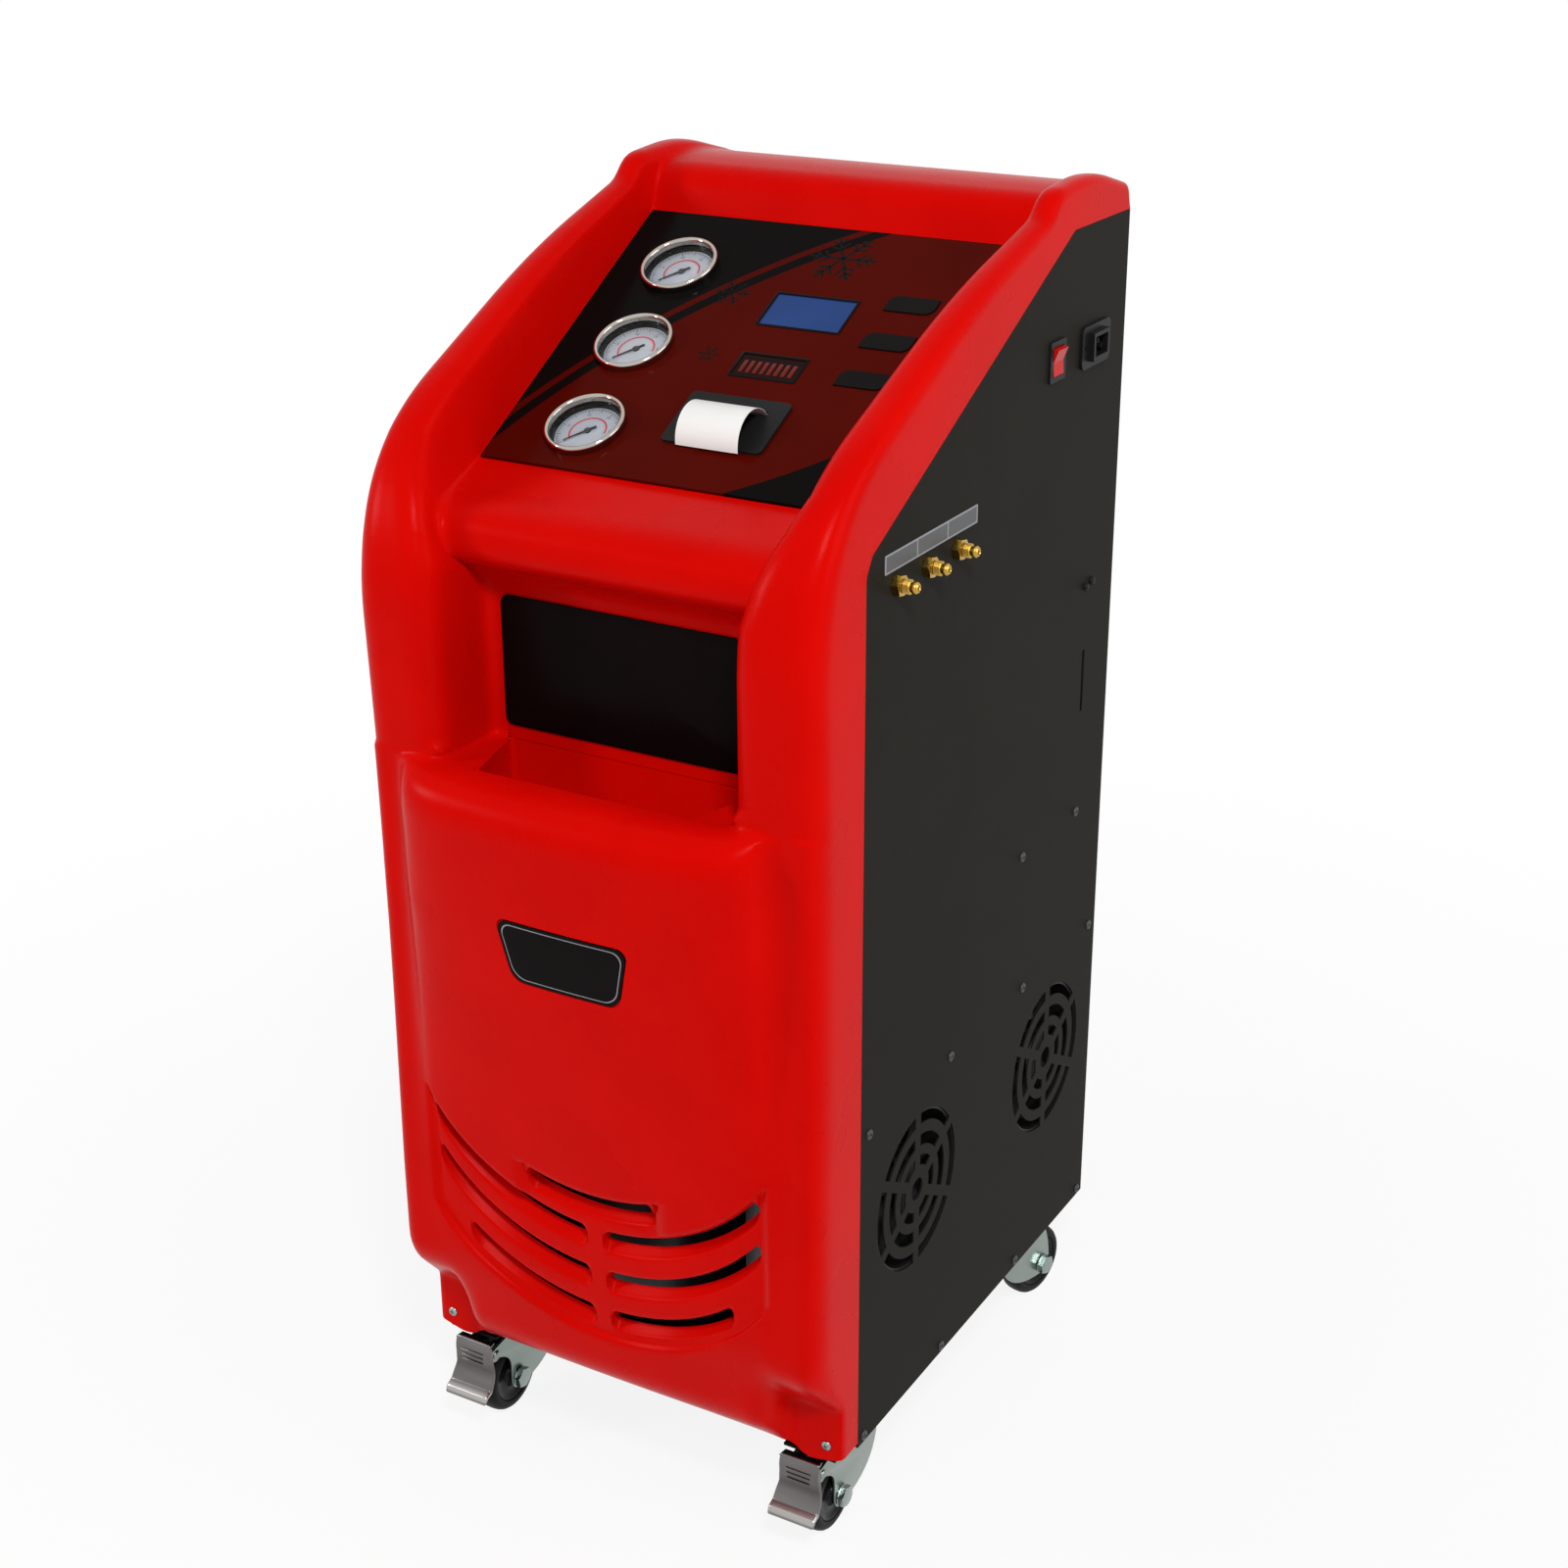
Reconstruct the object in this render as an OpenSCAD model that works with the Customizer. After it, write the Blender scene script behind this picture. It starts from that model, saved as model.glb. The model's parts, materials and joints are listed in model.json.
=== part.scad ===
// Refrigerant recovery machine: a wheeled cabinet with a moulded red front,
// a sloping control panel with three gauges, and the recovery plant inside.
// Lengths are millimetres. X is right, Y is back, Z is up from the floor.
// Inside the modules Y counts from the front edge of the side panels;
// stand() then moves the origin to the floor under the middle of the cabinet.

/* [Cabinet] */
// Width over the two side panels
cabinet_w = 420; // [380:1:480]
// Depth of the side panels
cabinet_d = 470; // [440:1:520]
// Height of the side panels' lower edge above the floor
cabinet_bottom = 103; // [100:1:108]
// Height of the front edge, where the slope starts
front_top = 889; // [870:1:920]
// Height of the flat top of the side panels
cabinet_top = 1074; // [1050:1:1110]
// Depth of the flat top behind the slope
top_depth = 115; // [100:1:130]
// Thickness of the cabinet's sheet metal
sheet = 1.5; // [1:0.1:2]
// Width of the side panels' folded edges
flange_w = 16; // [12:1:20]
// Thickness of the base tray
base_t = 2.5; // [2:0.1:4]
// Height of the base tray's turned-up sides
base_lip = 26; // [22:1:40]
// Gap between parts that lie against each other
seat_gap = 0.3; // [0.2:0.05:0.5]

/* [Front shell] */
// Wall of the moulded shell
shell_wall = 4; // [3:0.5:5]
// How far the side rails stand in front of the cabinet
rail_depth = 72; // [64:1:84]
// How far the belly stands in front of the cabinet
belly_depth = 120; // [105:1:135]
// Height of the recess floor, on top of the belly
bin_floor = 690; // [670:1:710]
// Height of the recess roof, under the panel's roll
bin_roof = 834; // [824:1:842]
// How far the roll under the panel stands in front of the cabinet
roll_depth = 40; // [34:1:46]
// Width of a side rail beside the recess
rail_w_recess = 75; // [65:1:85]
// Width of a side rail at the panel's lower edge
rail_w_low = 40; // [36:1:46]
// Width of a side rail at the panel's upper edge
rail_w_high = 24; // [22:1:30]
// Depth of the storage pocket below the recess floor
pocket_depth = 58; // [40:1:70]
// Distance from the pocket's back corners to the side rails
pocket_gap = 17; // [12:1:30]
// How much narrower each side of the pocket is at its front
pocket_taper = 18; // [0:1:30]
// Height of the lowest point of the vent's lowest slot
vent_low = 208; // [204:1:216]
// Distance between the vent's slots
vent_pitch = 42; // [40:1:44]
// Height of a vent slot
vent_slot = 13; // [10:1:16]
// Radius of the vent's curved slots
vent_r = 200; // [185:1:230]

/* [Control panel] */
// Distance along the slope from its foot to the panel's lower edge
panel_from = 48; // [40:1:56]
// Distance along the slope from the panel's upper edge to the slope's top
panel_margin = 27; // [24:0.5:36]
// Thickness of the panel plate
panel_t = 3; // [2:0.5:4]
// Width of the ledge that carries the panel plate
ledge_w = 11; // [8:1:14]
// Outside radius of a gauge bezel
gauge_r = 34.5; // [32:0.5:37]
// Height of a gauge bezel above the panel
bezel_h = 8; // [6:0.5:10]
// Depth of a gauge case behind the panel
case_depth = 38; // [30:1:50]
// Size of the display's glass
display_size = [74, 39]; // [30:1:80]
// Size of a key
key_size = [44, 19]; // [15:1:46]
// Travel of a key
key_travel = 0.8; // [0.4:0.1:1.2]
// Size of the printer's frame
printer_size = [92, 60]; // [50:1:95]
// Width of the printer's paper
paper_w = 57; // [50:1:60]
// Radius of the paper roll
paper_r = 17; // [12:0.5:18]

/* [Side fittings] */
// Distance between the service ports
port_pitch = 51; // [40:1:56]
// Height of the service ports
port_z = 861; // [852:1:868]
// Radius of the service ports' ends, as in a quarter inch flare
port_r = 5.6; // [5:0.1:6]
// Length of the service ports outside the side panel
port_out = 23; // [18:1:28]
// Radius of the fan grilles
fan_r = 72; // [66:1:74]
// Height of the fans
fan_z = 304; // [296:1:312]
// Depth of a fan
fan_depth = 38; // [32:1:45]
// Outside size of the rocker switch's frame
switch_size = [30, 34]; // [26:1:40]
// Outside size of the power inlet's flange
inlet_size = [58, 36]; // [30:1:62]

/* [Casters] */
// Radius of a caster wheel
wheel_r = 36; // [34:0.5:37]
// Width of a caster wheel
wheel_w = 22; // [18:1:24]
// Distance from a caster's swivel axis to its wheel's axis
caster_trail = 24; // [22:1:30]
// Radius of a wheel's axle bolt
axle_r = 5; // [4:0.5:6]
// Radius of a caster's kingpin
kingpin_r = 6; // [5:0.5:7]
// Running clearance of a shaft in its bore
running = 0.05; // [0.02:0.01:0.09]
// Distance of the swivel axes from the cabinet's sides
caster_inset = 39; // [38:1:46]
// Width of a brake pedal at its foot
pedal_w = 45; // [42:1:48]
// Width of a brake pedal at its top
pedal_top_w = 39; // [38:0.5:42]

/* [Inside] */
// Height of the shelf across the cabinet
shelf_z = 580; // [570:1:590]
// Radius of the refrigerant tank
tank_r = 105; // [90:1:110]
// Height of the tank's shell
tank_h = 350; // [320:1:370]
// How far the scale's platform stands out round the tank
scale_margin = 2; // [0:0.5:4]
// Radius of the compressor's can
compressor_r = 72; // [60:1:75]
// Height of the compressor's can
compressor_h = 205; // [180:1:220]

/* [Hidden] */
$fn = 48;

shell_red = [0.80, 0.03, 0.02];
sheet_black = [0.10, 0.10, 0.10];
zinc = [0.75, 0.76, 0.76];
brass_gold = [0.80, 0.62, 0.22];

half_w = cabinet_w / 2;
inner_x = half_w - sheet;
caster_x = half_w - caster_inset;
slope_run = cabinet_d - top_depth;
slope_rise = cabinet_top - front_top;
slope_angle = atan2(slope_rise, slope_run);
slope_len = norm([slope_run, slope_rise]);
panel_to = slope_len - panel_margin;
base_z = cabinet_bottom - 0.5;
tray_z = base_z - base_t;
front_len = front_top - cabinet_bottom;
seam_len = front_len + slope_len + top_depth;
corner_cut = 10;

// Moves a part from the front edge of the side panels to the middle of the cabinet
module stand() {
    translate([0, -cabinet_d / 2, 0]) children();
}

// Puts children on the sloping panel: X right, Y up the slope, Z out of it
module on_slope(x, s, h = 0) {
    translate([0, 0, front_top]) rotate([slope_angle, 0, 0]) translate([x, s, h]) children();
}

// Puts children on the outside of the right side panel: Z points out of it
module on_right(y, z, x = half_w) {
    translate([x, y, z]) rotate([90, 0, 90]) children();
}

module mirror_x() {
    children();
    mirror([1, 0, 0]) children();
}

module rounded(size, r) {
    w = size[0] - 2 * r;
    h = size[1] - 2 * r;
    square([size[0], h], center = true);
    square([w, size[1]], center = true);
    for (x = [-w / 2, w / 2], y = [-h / 2, h / 2]) translate([x, y]) circle(r);
}

// Depth of the vent's sunk area and wall of the shell behind it
vent_sink = 5;
vent_wall = 18;
// How far the corner tabs under the shell stand in front of the cabinet
tab_depth = 28;
gauges = [[-113.7, 300], [-102.6, 198], [-91.6, 96]];
display_at = [29.3, 263];
indicator_at = [28, 193];
indicator_size = [58, 26];
keys = [[114, 286], [114, 239], [114, 192]];
printer_at = [26, 123];
port_y = [for (i = [0:2]) 46.7 + i * port_pitch];
fan_y = [103, cabinet_d - 104];
fan_box = 2 * fan_r + 6;
switch_at = [cabinet_d - 144, cabinet_top - 101];
inlet_at = [cabinet_d - 67, cabinet_top - 102];
sight_slot = [cabinet_d - 57, shelf_z + 85, 5, 58];
tray_x = inner_x - seat_gap;
tray_back = cabinet_d - 2 * sheet - seat_gap;
screw_r = 2;
screw_hole = screw_r + 0.25;
tab_screw = [half_w - 15, cabinet_bottom + 16];
low_screws = [for (y = [10, cabinet_d / 3, cabinet_d * 2 / 3, cabinet_d - 12]) [y, cabinet_bottom + 7]];
high_screws = [for (y = [14, 162, cabinet_d - 163, cabinet_d - 15]) [y, fan_z + 100]];
mid_screws = [for (d = [174, 59]) [cabinet_d - d, shelf_z - 42]];
side_screws = concat(low_screws, high_screws, mid_screws);
back_screws = [for (x = [-1, 1], z = [0.02, 0.35, 0.68, 0.98])
    [x * (inner_x - 8), cabinet_bottom + z * (cabinet_top - cabinet_bottom)]];
condenser_x = inner_x - fan_depth - 6;
caster_front_y = 37.4;
caster_rear_y = cabinet_d - 66;
rear_swivel = 12;
pin_r = 3;
pedal_pin = [-57, 80];
wheel_side_gap = 2.5;
leg_t = 2.5;
crown_z = 86;
crown_t = 6;
plate_t = 3;

function lerp(a, b, t) = a + (b - a) * t;
function unit(v) = v / norm(v);
function left_of(v) = [-v[1], v[0]];
function mitre(a, b) = (a + b) / (1 + a * b);
function on_slope_line(s, h) = [s * cos(slope_angle) - h * sin(slope_angle),
    front_top + s * sin(slope_angle) + h * cos(slope_angle)];

// Outline of a side panel, Y back and Z up, from the front foot round to the back foot
function side_points(back) = [[0, cabinet_bottom], [0, front_top - corner_cut],
    on_slope_line(corner_cut, 0), [slope_run, cabinet_top], [back, cabinet_top], [back, cabinet_bottom]];

// A closed outline moved inwards by d
function moved_in(points, d) = let (n = len(points)) [for (i = [0:n - 1])
    let (a = points[(i + n - 1) % n], p = points[i], c = points[(i + 1) % n])
    p - d * mitre(left_of(unit(p - a)), left_of(unit(c - p)))];

// An open control path [y, z, blend, station, wall] moved inwards by d, or by its own wall
function path_moved_in(path, d = 0) = let (n = len(path)) [for (i = [0:n - 1])
    let (p = [path[i][0], path[i][1]],
        a = i > 0 ? p - [path[i - 1][0], path[i - 1][1]] : [path[1][0], path[1][1]] - p,
        c = i < n - 1 ? [path[i + 1][0], path[i + 1][1]] - p : a,
        q = p - (d > 0 ? d : path[i][4]) * mitre(left_of(unit(a)), left_of(unit(c))))
    [q[0], q[1], path[i][2], path[i][3], path[i][4]]];

// Points of a rounded corner at p between a and c
function corner(a, p, c, blend, steps) =
    let (from = lerp(p, a, min(blend / norm(a - p), 0.49)), to = lerp(p, c, min(blend / norm(c - p), 0.49)))
    [for (k = [0:steps]) let (t = k / steps)
        (1 - t) * (1 - t) * from + 2 * t * (1 - t) * p + t * t * to];

// A control path with its corners rounded, as [y, z, station]
function softened(path) = [for (i = [0:len(path) - 1])
    let (p = path[i], q = [p[0], p[1], p[3]])
    each (p[2] == 0 ? [q] : corner([path[i - 1][0], path[i - 1][1], path[i - 1][3]], q,
        [path[i + 1][0], path[i + 1][1], path[i + 1][3]], p[2], 8))];

// The point of a softened path at a station
function at_station(points, s) = [lookup(s, [for (p = points) [p[2], p[0]]]),
    lookup(s, [for (p = points) [p[2], p[1]]])];

// Stations along the side seam: up the front, up the slope and over the top
st_floor = bin_floor - cabinet_bottom - 14;
st_roof = bin_roof - cabinet_bottom - 9;
st_foot = front_len;
st_low = front_len + panel_from - 4;
st_high = front_len + panel_to + 4;
st_top = front_len + slope_len;
st_back = seam_len;

// Crest of the side rails
rail_path = [
    [-tab_depth, cabinet_bottom + 5, 0, 0, shell_wall],
    [-tab_depth, cabinet_bottom + 55, 8, 55, shell_wall],
    [-rail_depth - 4, cabinet_bottom + 104, 30, 112, vent_wall - 4],
    [-rail_depth + 1, cabinet_bottom + 480, 200, 480, shell_wall],
    [-rail_depth - 12, front_top + 37, 160, st_foot, shell_wall],
    concat(on_slope_line(230, 63), [90, st_foot + 230, shell_wall]),
    concat(on_slope_line(slope_len - 36, 38), [10, st_top - 36, shell_wall]),
    [slope_run - 30, cabinet_top + 36, 16, st_top - 8, shell_wall],
    [slope_run + 45, cabinet_top + 41, 40, st_top + 45, shell_wall],
    [cabinet_d, cabinet_top + 22, 8, st_back - 12, shell_wall],
    [cabinet_d, cabinet_top + 1.5, 0, st_back, shell_wall]];

// Middle of the shell: belly, recess, roll, ledge of the panel and top roll
middle_path = [
    [-tab_depth - 6, cabinet_bottom + 13, 0, 0, shell_wall],
    [-66, cabinet_bottom + 38, 28, 50, 10],
    [-76, cabinet_bottom + 128, 50, 122, vent_wall],
    [-belly_depth + 8, bin_floor - 120, 120, st_floor - 105, 6],
    [-belly_depth, bin_floor, 50, st_floor, shell_wall + 1],
    [0, bin_floor, 9, st_floor + 27, shell_wall],
    [0, bin_roof, 26, st_roof, shell_wall],
    [-roll_depth, bin_roof + 16, 22, st_roof + 30, shell_wall],
    [-roll_depth + 3, front_top, 34, st_foot, shell_wall],
    concat(on_slope_line(panel_from - 4, -panel_t - seat_gap), [3, st_low, shell_wall]),
    concat(on_slope_line(panel_to + 4, -panel_t - seat_gap), [3, st_high, shell_wall]),
    [slope_run - 9, cabinet_top + 24, 26, st_top, shell_wall],
    [slope_run + 45, cabinet_top + 32, 40, st_top + 45, shell_wall],
    [cabinet_d, cabinet_top + 20, 6, st_back - 12, shell_wall],
    [cabinet_d, cabinet_top + 1.5, 0, st_back, shell_wall]];

seam_points = let (p = moved_in(side_points(cabinet_d), -seat_gap)) [
    [p[0][0], cabinet_bottom + 5, 0], [p[1][0], p[1][1], front_len - corner_cut],
    [p[2][0], p[2][1], front_len + corner_cut], [p[3][0], p[3][1], st_top], [cabinet_d, p[4][1], st_back]];

// Cross-section by station: distance from the side to the inner edge of the rail's foot and
// of its crest, share of the rail's depth at that foot, blends at the middle, foot, crest and
// outer edge, wall side
sections = [
    [0, 60, 47, 0.12, 120, 14, 5, 5, -1],
    [55, 60, 47, 0.12, 120, 14, 5, 5, -1],
    [112, 58, 40, 0.25, 120, 30, 12, 28, -1],
    [200, 58, 32, 0.5, 120, 50, 14, 28, -1],
    [st_floor - 95, 58, 34, 0.25, 120, 60, 12, 28, -1],
    [st_floor + 4, 58, 38, 0.2, 120, 40, 12, 28, -1],
    [st_floor + 13, rail_w_recess + 1, rail_w_recess, 0, 60, 10, 26, 28, 1],
    [st_roof, rail_w_recess, rail_w_recess - 3, 0, 60, 12, 26, 28, 1],
    [st_roof + 30, rail_w_recess - 6, rail_w_recess - 11, 0, 60, 12, 24, 26, 1],
    [st_foot, 58, 52, 0, 60, 10, 22, 22, 1],
    [st_low, rail_w_low, rail_w_low - 1.5, 0, 60, 3, 18, 18, 1],
    [st_high, rail_w_high, rail_w_high - 1.5, 0, 60, 3, 11, 11, 1],
    [st_top + 45, 28, 20, 0, 60, 10, 9, 9, 1],
    [st_back, 28, 20, 0, 60, 10, 9, 9, 1]];

function section_value(s, k) = lookup(s, [for (row = sections) [row[0], row[k]]]);

shell_rows = concat([0, 28, 48, 55, 62, 76, 92, 104, 114, 128, 155],
    [for (k = [1:4]) lerp(155, st_floor - 44, k / 4)],
    [for (d = [-25, -11, 0, 7, 13, 25, 28, 34]) st_floor + d],
    [lerp(st_floor + 34, st_roof - 13, 0.5)],
    [for (d = [-13, -4, 4, 12, 22, 34]) st_roof + d],
    [for (d = [-22, -corner_cut, 0, corner_cut, 24]) st_foot + d],
    [st_low - 2],
    [for (k = [0:5]) lerp(st_low + 3, st_high - 3, k / 5)],
    [st_high + 1],
    [for (d = [-12, 0, 9, 22, 38, 53, 77]) st_top + d],
    [for (d = [-17, -10, 0]) st_back + d]);

// Half of the shell's cross-section at a station, from the middle outwards
function half_section(s, middle, rail, out_x, wall_shift) =
    let (m = at_station(middle, s), r = at_station(rail, s), e = at_station(seam_points, s),
        shift = wall_shift * section_value(s, 8),
        foot_x = half_w - section_value(s, 1) + shift, crest_x = half_w - section_value(s, 2) + shift,
        f = lerp(m, r, section_value(s, 3)),
        q0 = [0, m[0], m[1]], q1 = [foot_x, f[0], f[1]], q2 = [crest_x, r[0], r[1]],
        q3 = [out_x, r[0], r[1]], q4 = [out_x, e[0], e[1]],
        bow = lerp(q0, q1, min(section_value(s, 4), foot_x - section_value(s, 5) - 6) / foot_x))
    concat([[0, lerp(q0, bow, 0.5)[1], lerp(q0, bow, 0.5)[2]], bow],
        corner(q0, q1, q2, section_value(s, 5), 3), corner(q1, q2, q3, section_value(s, 6), 3),
        corner(q2, q3, q4, section_value(s, 7), 4), [q4]);

function whole_section(half) = concat(
    [for (i = [len(half) - 1:-1:1]) [-half[i][0], half[i][1], half[i][2]]], half);

function shell_skin(at_rows, middle, rail, out_x, wall_shift) = [for (s = at_rows)
    whole_section(half_section(s, middle, rail, out_x, wall_shift))];

// Closed body between two skins, each given as a grid of points
module between_skins(outer, inner) {
    rows = len(outer);
    cols = len(outer[0]);
    function at(i, j, layer) = layer * rows * cols + i * cols + j;
    skin = [for (i = [0:rows - 2], j = [0:cols - 2], layer = [0, 1])
        let (a = at(i, j, layer), b = at(i, j + 1, layer),
            c = at(i + 1, j + 1, layer), d = at(i + 1, j, layer))
        each (layer == 0 ? [[a, d, c], [a, c, b]] : [[a, c, d], [a, b, c]])];
    ends = [for (j = [0:cols - 2]) each [
        [at(0, j, 0), at(0, j + 1, 0), at(0, j + 1, 1)], [at(0, j, 0), at(0, j + 1, 1), at(0, j, 1)],
        [at(rows - 1, j, 0), at(rows - 1, j + 1, 1), at(rows - 1, j + 1, 0)],
        [at(rows - 1, j, 0), at(rows - 1, j, 1), at(rows - 1, j + 1, 1)]]];
    sides = [for (i = [0:rows - 2]) each [
        [at(i, 0, 0), at(i + 1, 0, 1), at(i + 1, 0, 0)], [at(i, 0, 0), at(i, 0, 1), at(i + 1, 0, 1)],
        [at(i, cols - 1, 0), at(i + 1, cols - 1, 0), at(i + 1, cols - 1, 1)],
        [at(i, cols - 1, 0), at(i + 1, cols - 1, 1), at(i, cols - 1, 1)]]];
    polyhedron(points = concat([for (row = outer) each row], [for (row = inner) each row]),
        faces = concat(skin, ends, sides), convexity = 12);
}

// Half width of the rib between the slots, and distance of their ends from the side
vent_rib = 14;
vent_side = 57;
// Vent slots: [index above the lowest, from x, to x]
vent_slots = [for (side = [-1, 1], k = [0:2])
    [k, side * vent_rib, side * (half_w - (k == 0 ? vent_side + 27 : vent_side))]];
top_slot = [3, -57, 57];
vent_drop = 8;
vent_margin = 26;

// A curved slot in the XZ plane, with round ends
module vent_arc(slot, height, steps) {
    middle = [0, vent_low + slot[0] * vent_pitch - (slot[0] == 3 ? vent_drop : 0) + vent_r];
    turn = [asin(slot[1] / vent_r), asin(slot[2] / vent_r)];
    function around(r, k) = let (a = lerp(turn[0], turn[1], k / steps)) middle + r * [sin(a), -cos(a)];
    polygon(concat([for (k = [0:steps]) around(vent_r + height / 2, k)],
        [for (k = [steps:-1:0]) around(vent_r - height / 2, k)]));
    for (k = [0, steps]) translate(around(vent_r, k)) rotate(turn[k / steps])
        hull() circle(d = height, $fn = 12);
}

module vent_area(extra) {
    for (k = [0:3]) vent_arc([k, k == 3 ? top_slot[1] : -vent_slots[k + 3][2],
        k == 3 ? top_slot[2] : vent_slots[k + 3][2]], vent_slot + extra, 8);
}

module through_front(depth_from, depth_to) {
    translate([0, depth_to, 0]) rotate([90, 0, 0]) linear_extrude(depth_to - depth_from) children();
}

// The vent's sunk area keeps the curve of the front
module vent_recess() {
    vent_rows = [for (s = shell_rows) if (s > 70 && s < st_floor - 100) s];
    difference() {
        through_front(-belly_depth - 10, -20)
            offset(r = -10, $fn = 24) offset(r = 10, $fn = 24) vent_area(vent_margin);
        between_skins(
            shell_skin(vent_rows, softened(path_moved_in(middle_path, vent_sink)),
                softened(path_moved_in(rail_path, vent_sink)), half_w, 0),
            shell_skin(vent_rows, softened(path_moved_in(middle_path, vent_wall + 10)),
                softened(path_moved_in(rail_path, vent_wall + 10)), half_w - shell_wall, 0));
    }
}

// Storage pocket behind a broad lip
pocket_lip = 49;
pocket_back = half_w - rail_w_recess - pocket_gap;
pocket_front = pocket_back - pocket_taper;

module pocket_shape(grow) {
    front = -belly_depth + pocket_lip - grow;
    polygon([[-pocket_front - grow, front], [pocket_front + grow, front],
        [pocket_back + grow, grow], [-pocket_back - grow, grow]]);
}

overlay_gap = 3.5;
function overlay_half(s) = half_w - overlay_gap
    - lerp(rail_w_low, rail_w_high, (s - panel_from) / (panel_to - panel_from));

module overlay_shape(inset) {
    low = panel_from + inset;
    high = panel_to - inset;
    polygon([[-overlay_half(low) + inset, low], [overlay_half(low) - inset, low],
        [overlay_half(high) - inset, high], [-overlay_half(high) + inset, high]]);
}

// The whole moulding before its openings are cut
module shell_loft() {
    between_skins(shell_skin(shell_rows, softened(middle_path), softened(rail_path), half_w, 0),
        shell_skin(shell_rows, softened(path_moved_in(middle_path)), softened(path_moved_in(rail_path)),
            half_w - shell_wall, shell_wall));
}

module front_shell() {
    color(shell_red) stand() difference() {
        union() {
            shell_loft();
            translate([0, 0, bin_floor - pocket_depth - shell_wall])
                linear_extrude(pocket_depth + shell_wall - 1) pocket_shape(shell_wall);
        }
        translate([0, 0, bin_floor - pocket_depth]) linear_extrude(pocket_depth + 20) pocket_shape(0);
        on_slope(0, 0, -30) linear_extrude(40) overlay_shape(ledge_w);
        vent_recess();
        for (slot = concat(vent_slots, [top_slot]))
            through_front(-belly_depth - 10, -20) vent_arc(slot, vent_slot, 8);
        for (x = [-tab_screw[0], tab_screw[0]])
            translate([x, -tab_depth - 5, tab_screw[1]]) rotate([-90, 0, 0]) cylinder(r = screw_hole, h = 20);
    }
}

// Values of the inner structure
tray_front = 4;
tongue_y = -tab_depth + shell_wall + seat_gap;
tongue_x = half_w - 9;
tongue_w = 50;
tongue_tab_w = 24;
tongue_tab_h = 46;
post_w = 20;
post_t = 2;
post_x = tray_x - base_t - seat_gap;
post_front = tray_front + seat_gap;
post_back = tray_back - base_t - seat_gap;
shelf_top = shelf_z + post_t;
floor_z = base_z + seat_gap;
cut_gap = [2 * seat_gap, 2 * seat_gap];
deck_z = shelf_top + seat_gap;

// Sheet steel floor with turned-up edges and two front tabs for the shell
module base_tray() {
    color(sheet_black) stand() difference() {
        union() {
            translate([-tray_x, tray_front, tray_z]) cube([2 * tray_x, tray_back - tray_front, base_t]);
            translate([-tray_x, tray_back - base_t, tray_z]) cube([2 * tray_x, base_t, base_lip]);
            mirror_x() {
                translate([tray_x - base_t, tray_front, tray_z])
                    cube([base_t, tray_back - tray_front, base_lip]);
                translate([tongue_x - tongue_w, tongue_y, tray_z])
                    cube([tongue_w, tray_front - tongue_y + 1, base_t]);
                translate([tongue_x - tongue_tab_w, tongue_y, tray_z])
                    cube([tongue_tab_w, base_t, tongue_tab_h]);
            }
        }
        mirror_x() {
            translate([tab_screw[0], tongue_y - 5, tab_screw[1]]) rotate([-90, 0, 0])
                cylinder(r = screw_hole, h = 10);
            for (p = low_screws) on_right(p[0], p[1], tray_x - 5) cylinder(r = screw_hole, h = 10);
        }
    }
}

// Four angle posts and the shelf they carry
module inner_frame() {
    module post(height) {
        cube([post_t, post_w, height]);
        cube([post_w, post_t, height]);
    }
    color(zinc) stand() {
        translate([-post_x, post_front, shelf_z]) cube([2 * post_x, post_back - post_front, post_t]);
        mirror_x() {
            translate([post_x, post_front, floor_z]) mirror([1, 0, 0]) post(front_top - 60 - floor_z);
            translate([post_x, post_back, floor_z]) mirror([1, 0, 0]) mirror([0, 1, 0])
                post(cabinet_top - 20 - floor_z);
        }
    }
}

// A fan's grille: rings of slots between spokes
module grille() {
    spokes = 6;
    spoke_w = 5.5;
    rings = [[fan_r - 15.5, fan_r], [fan_r - 33, fan_r - 20], [fan_r - 50, fan_r - 40.5]];
    difference() {
        for (ring = rings) difference() {
            circle(ring[1]);
            circle(ring[0]);
        }
        for (k = [0:spokes - 1]) rotate(k * 360 / spokes) translate([0, -spoke_w / 2])
            square([fan_r + 5, spoke_w]);
    }
    circle(9.5);
}

// Side sheet with folded edges at the front, slope, top and back
module side_sheet() {
    outer = side_points(cabinet_d);
    fold = side_points(cabinet_d - sheet - seat_gap);
    inner = moved_in(fold, sheet);
    last = len(fold) - 1;
    translate([inner_x, 0, 0]) rotate([90, 0, 90]) linear_extrude(sheet) difference() {
        polygon(outer);
        for (p = side_screws) translate(p) circle(screw_hole);
        children();
    }
    difference() {
        translate([inner_x - flange_w, 0, 0]) rotate([90, 0, 90]) linear_extrude(flange_w + 0.5)
            polygon(concat(fold, [[inner[last][0], cabinet_bottom]],
                [for (i = [last - 1:-1:1]) inner[i]], [[inner[0][0], cabinet_bottom]]));
        for (p = back_screws) translate([p[0], cabinet_d - 20, p[1]]) rotate([-90, 0, 0])
            cylinder(r = screw_hole, h = 30);
    }
}

module right_side_panel() {
    color(sheet_black) stand() side_sheet() {
        for (y = port_y) translate([y, port_z]) circle(port_hole);
        for (y = fan_y) translate([y, fan_z]) grille();
        translate(switch_at) square(switch_body + cut_gap, center = true);
        translate(inlet_at) square(inlet_body + cut_gap, center = true);
        translate([sight_slot[0], sight_slot[1]]) rounded([sight_slot[2], sight_slot[3]], 2);
    }
}

module left_side_panel() {
    color(sheet_black) stand() mirror([1, 0, 0]) side_sheet();
}

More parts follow.
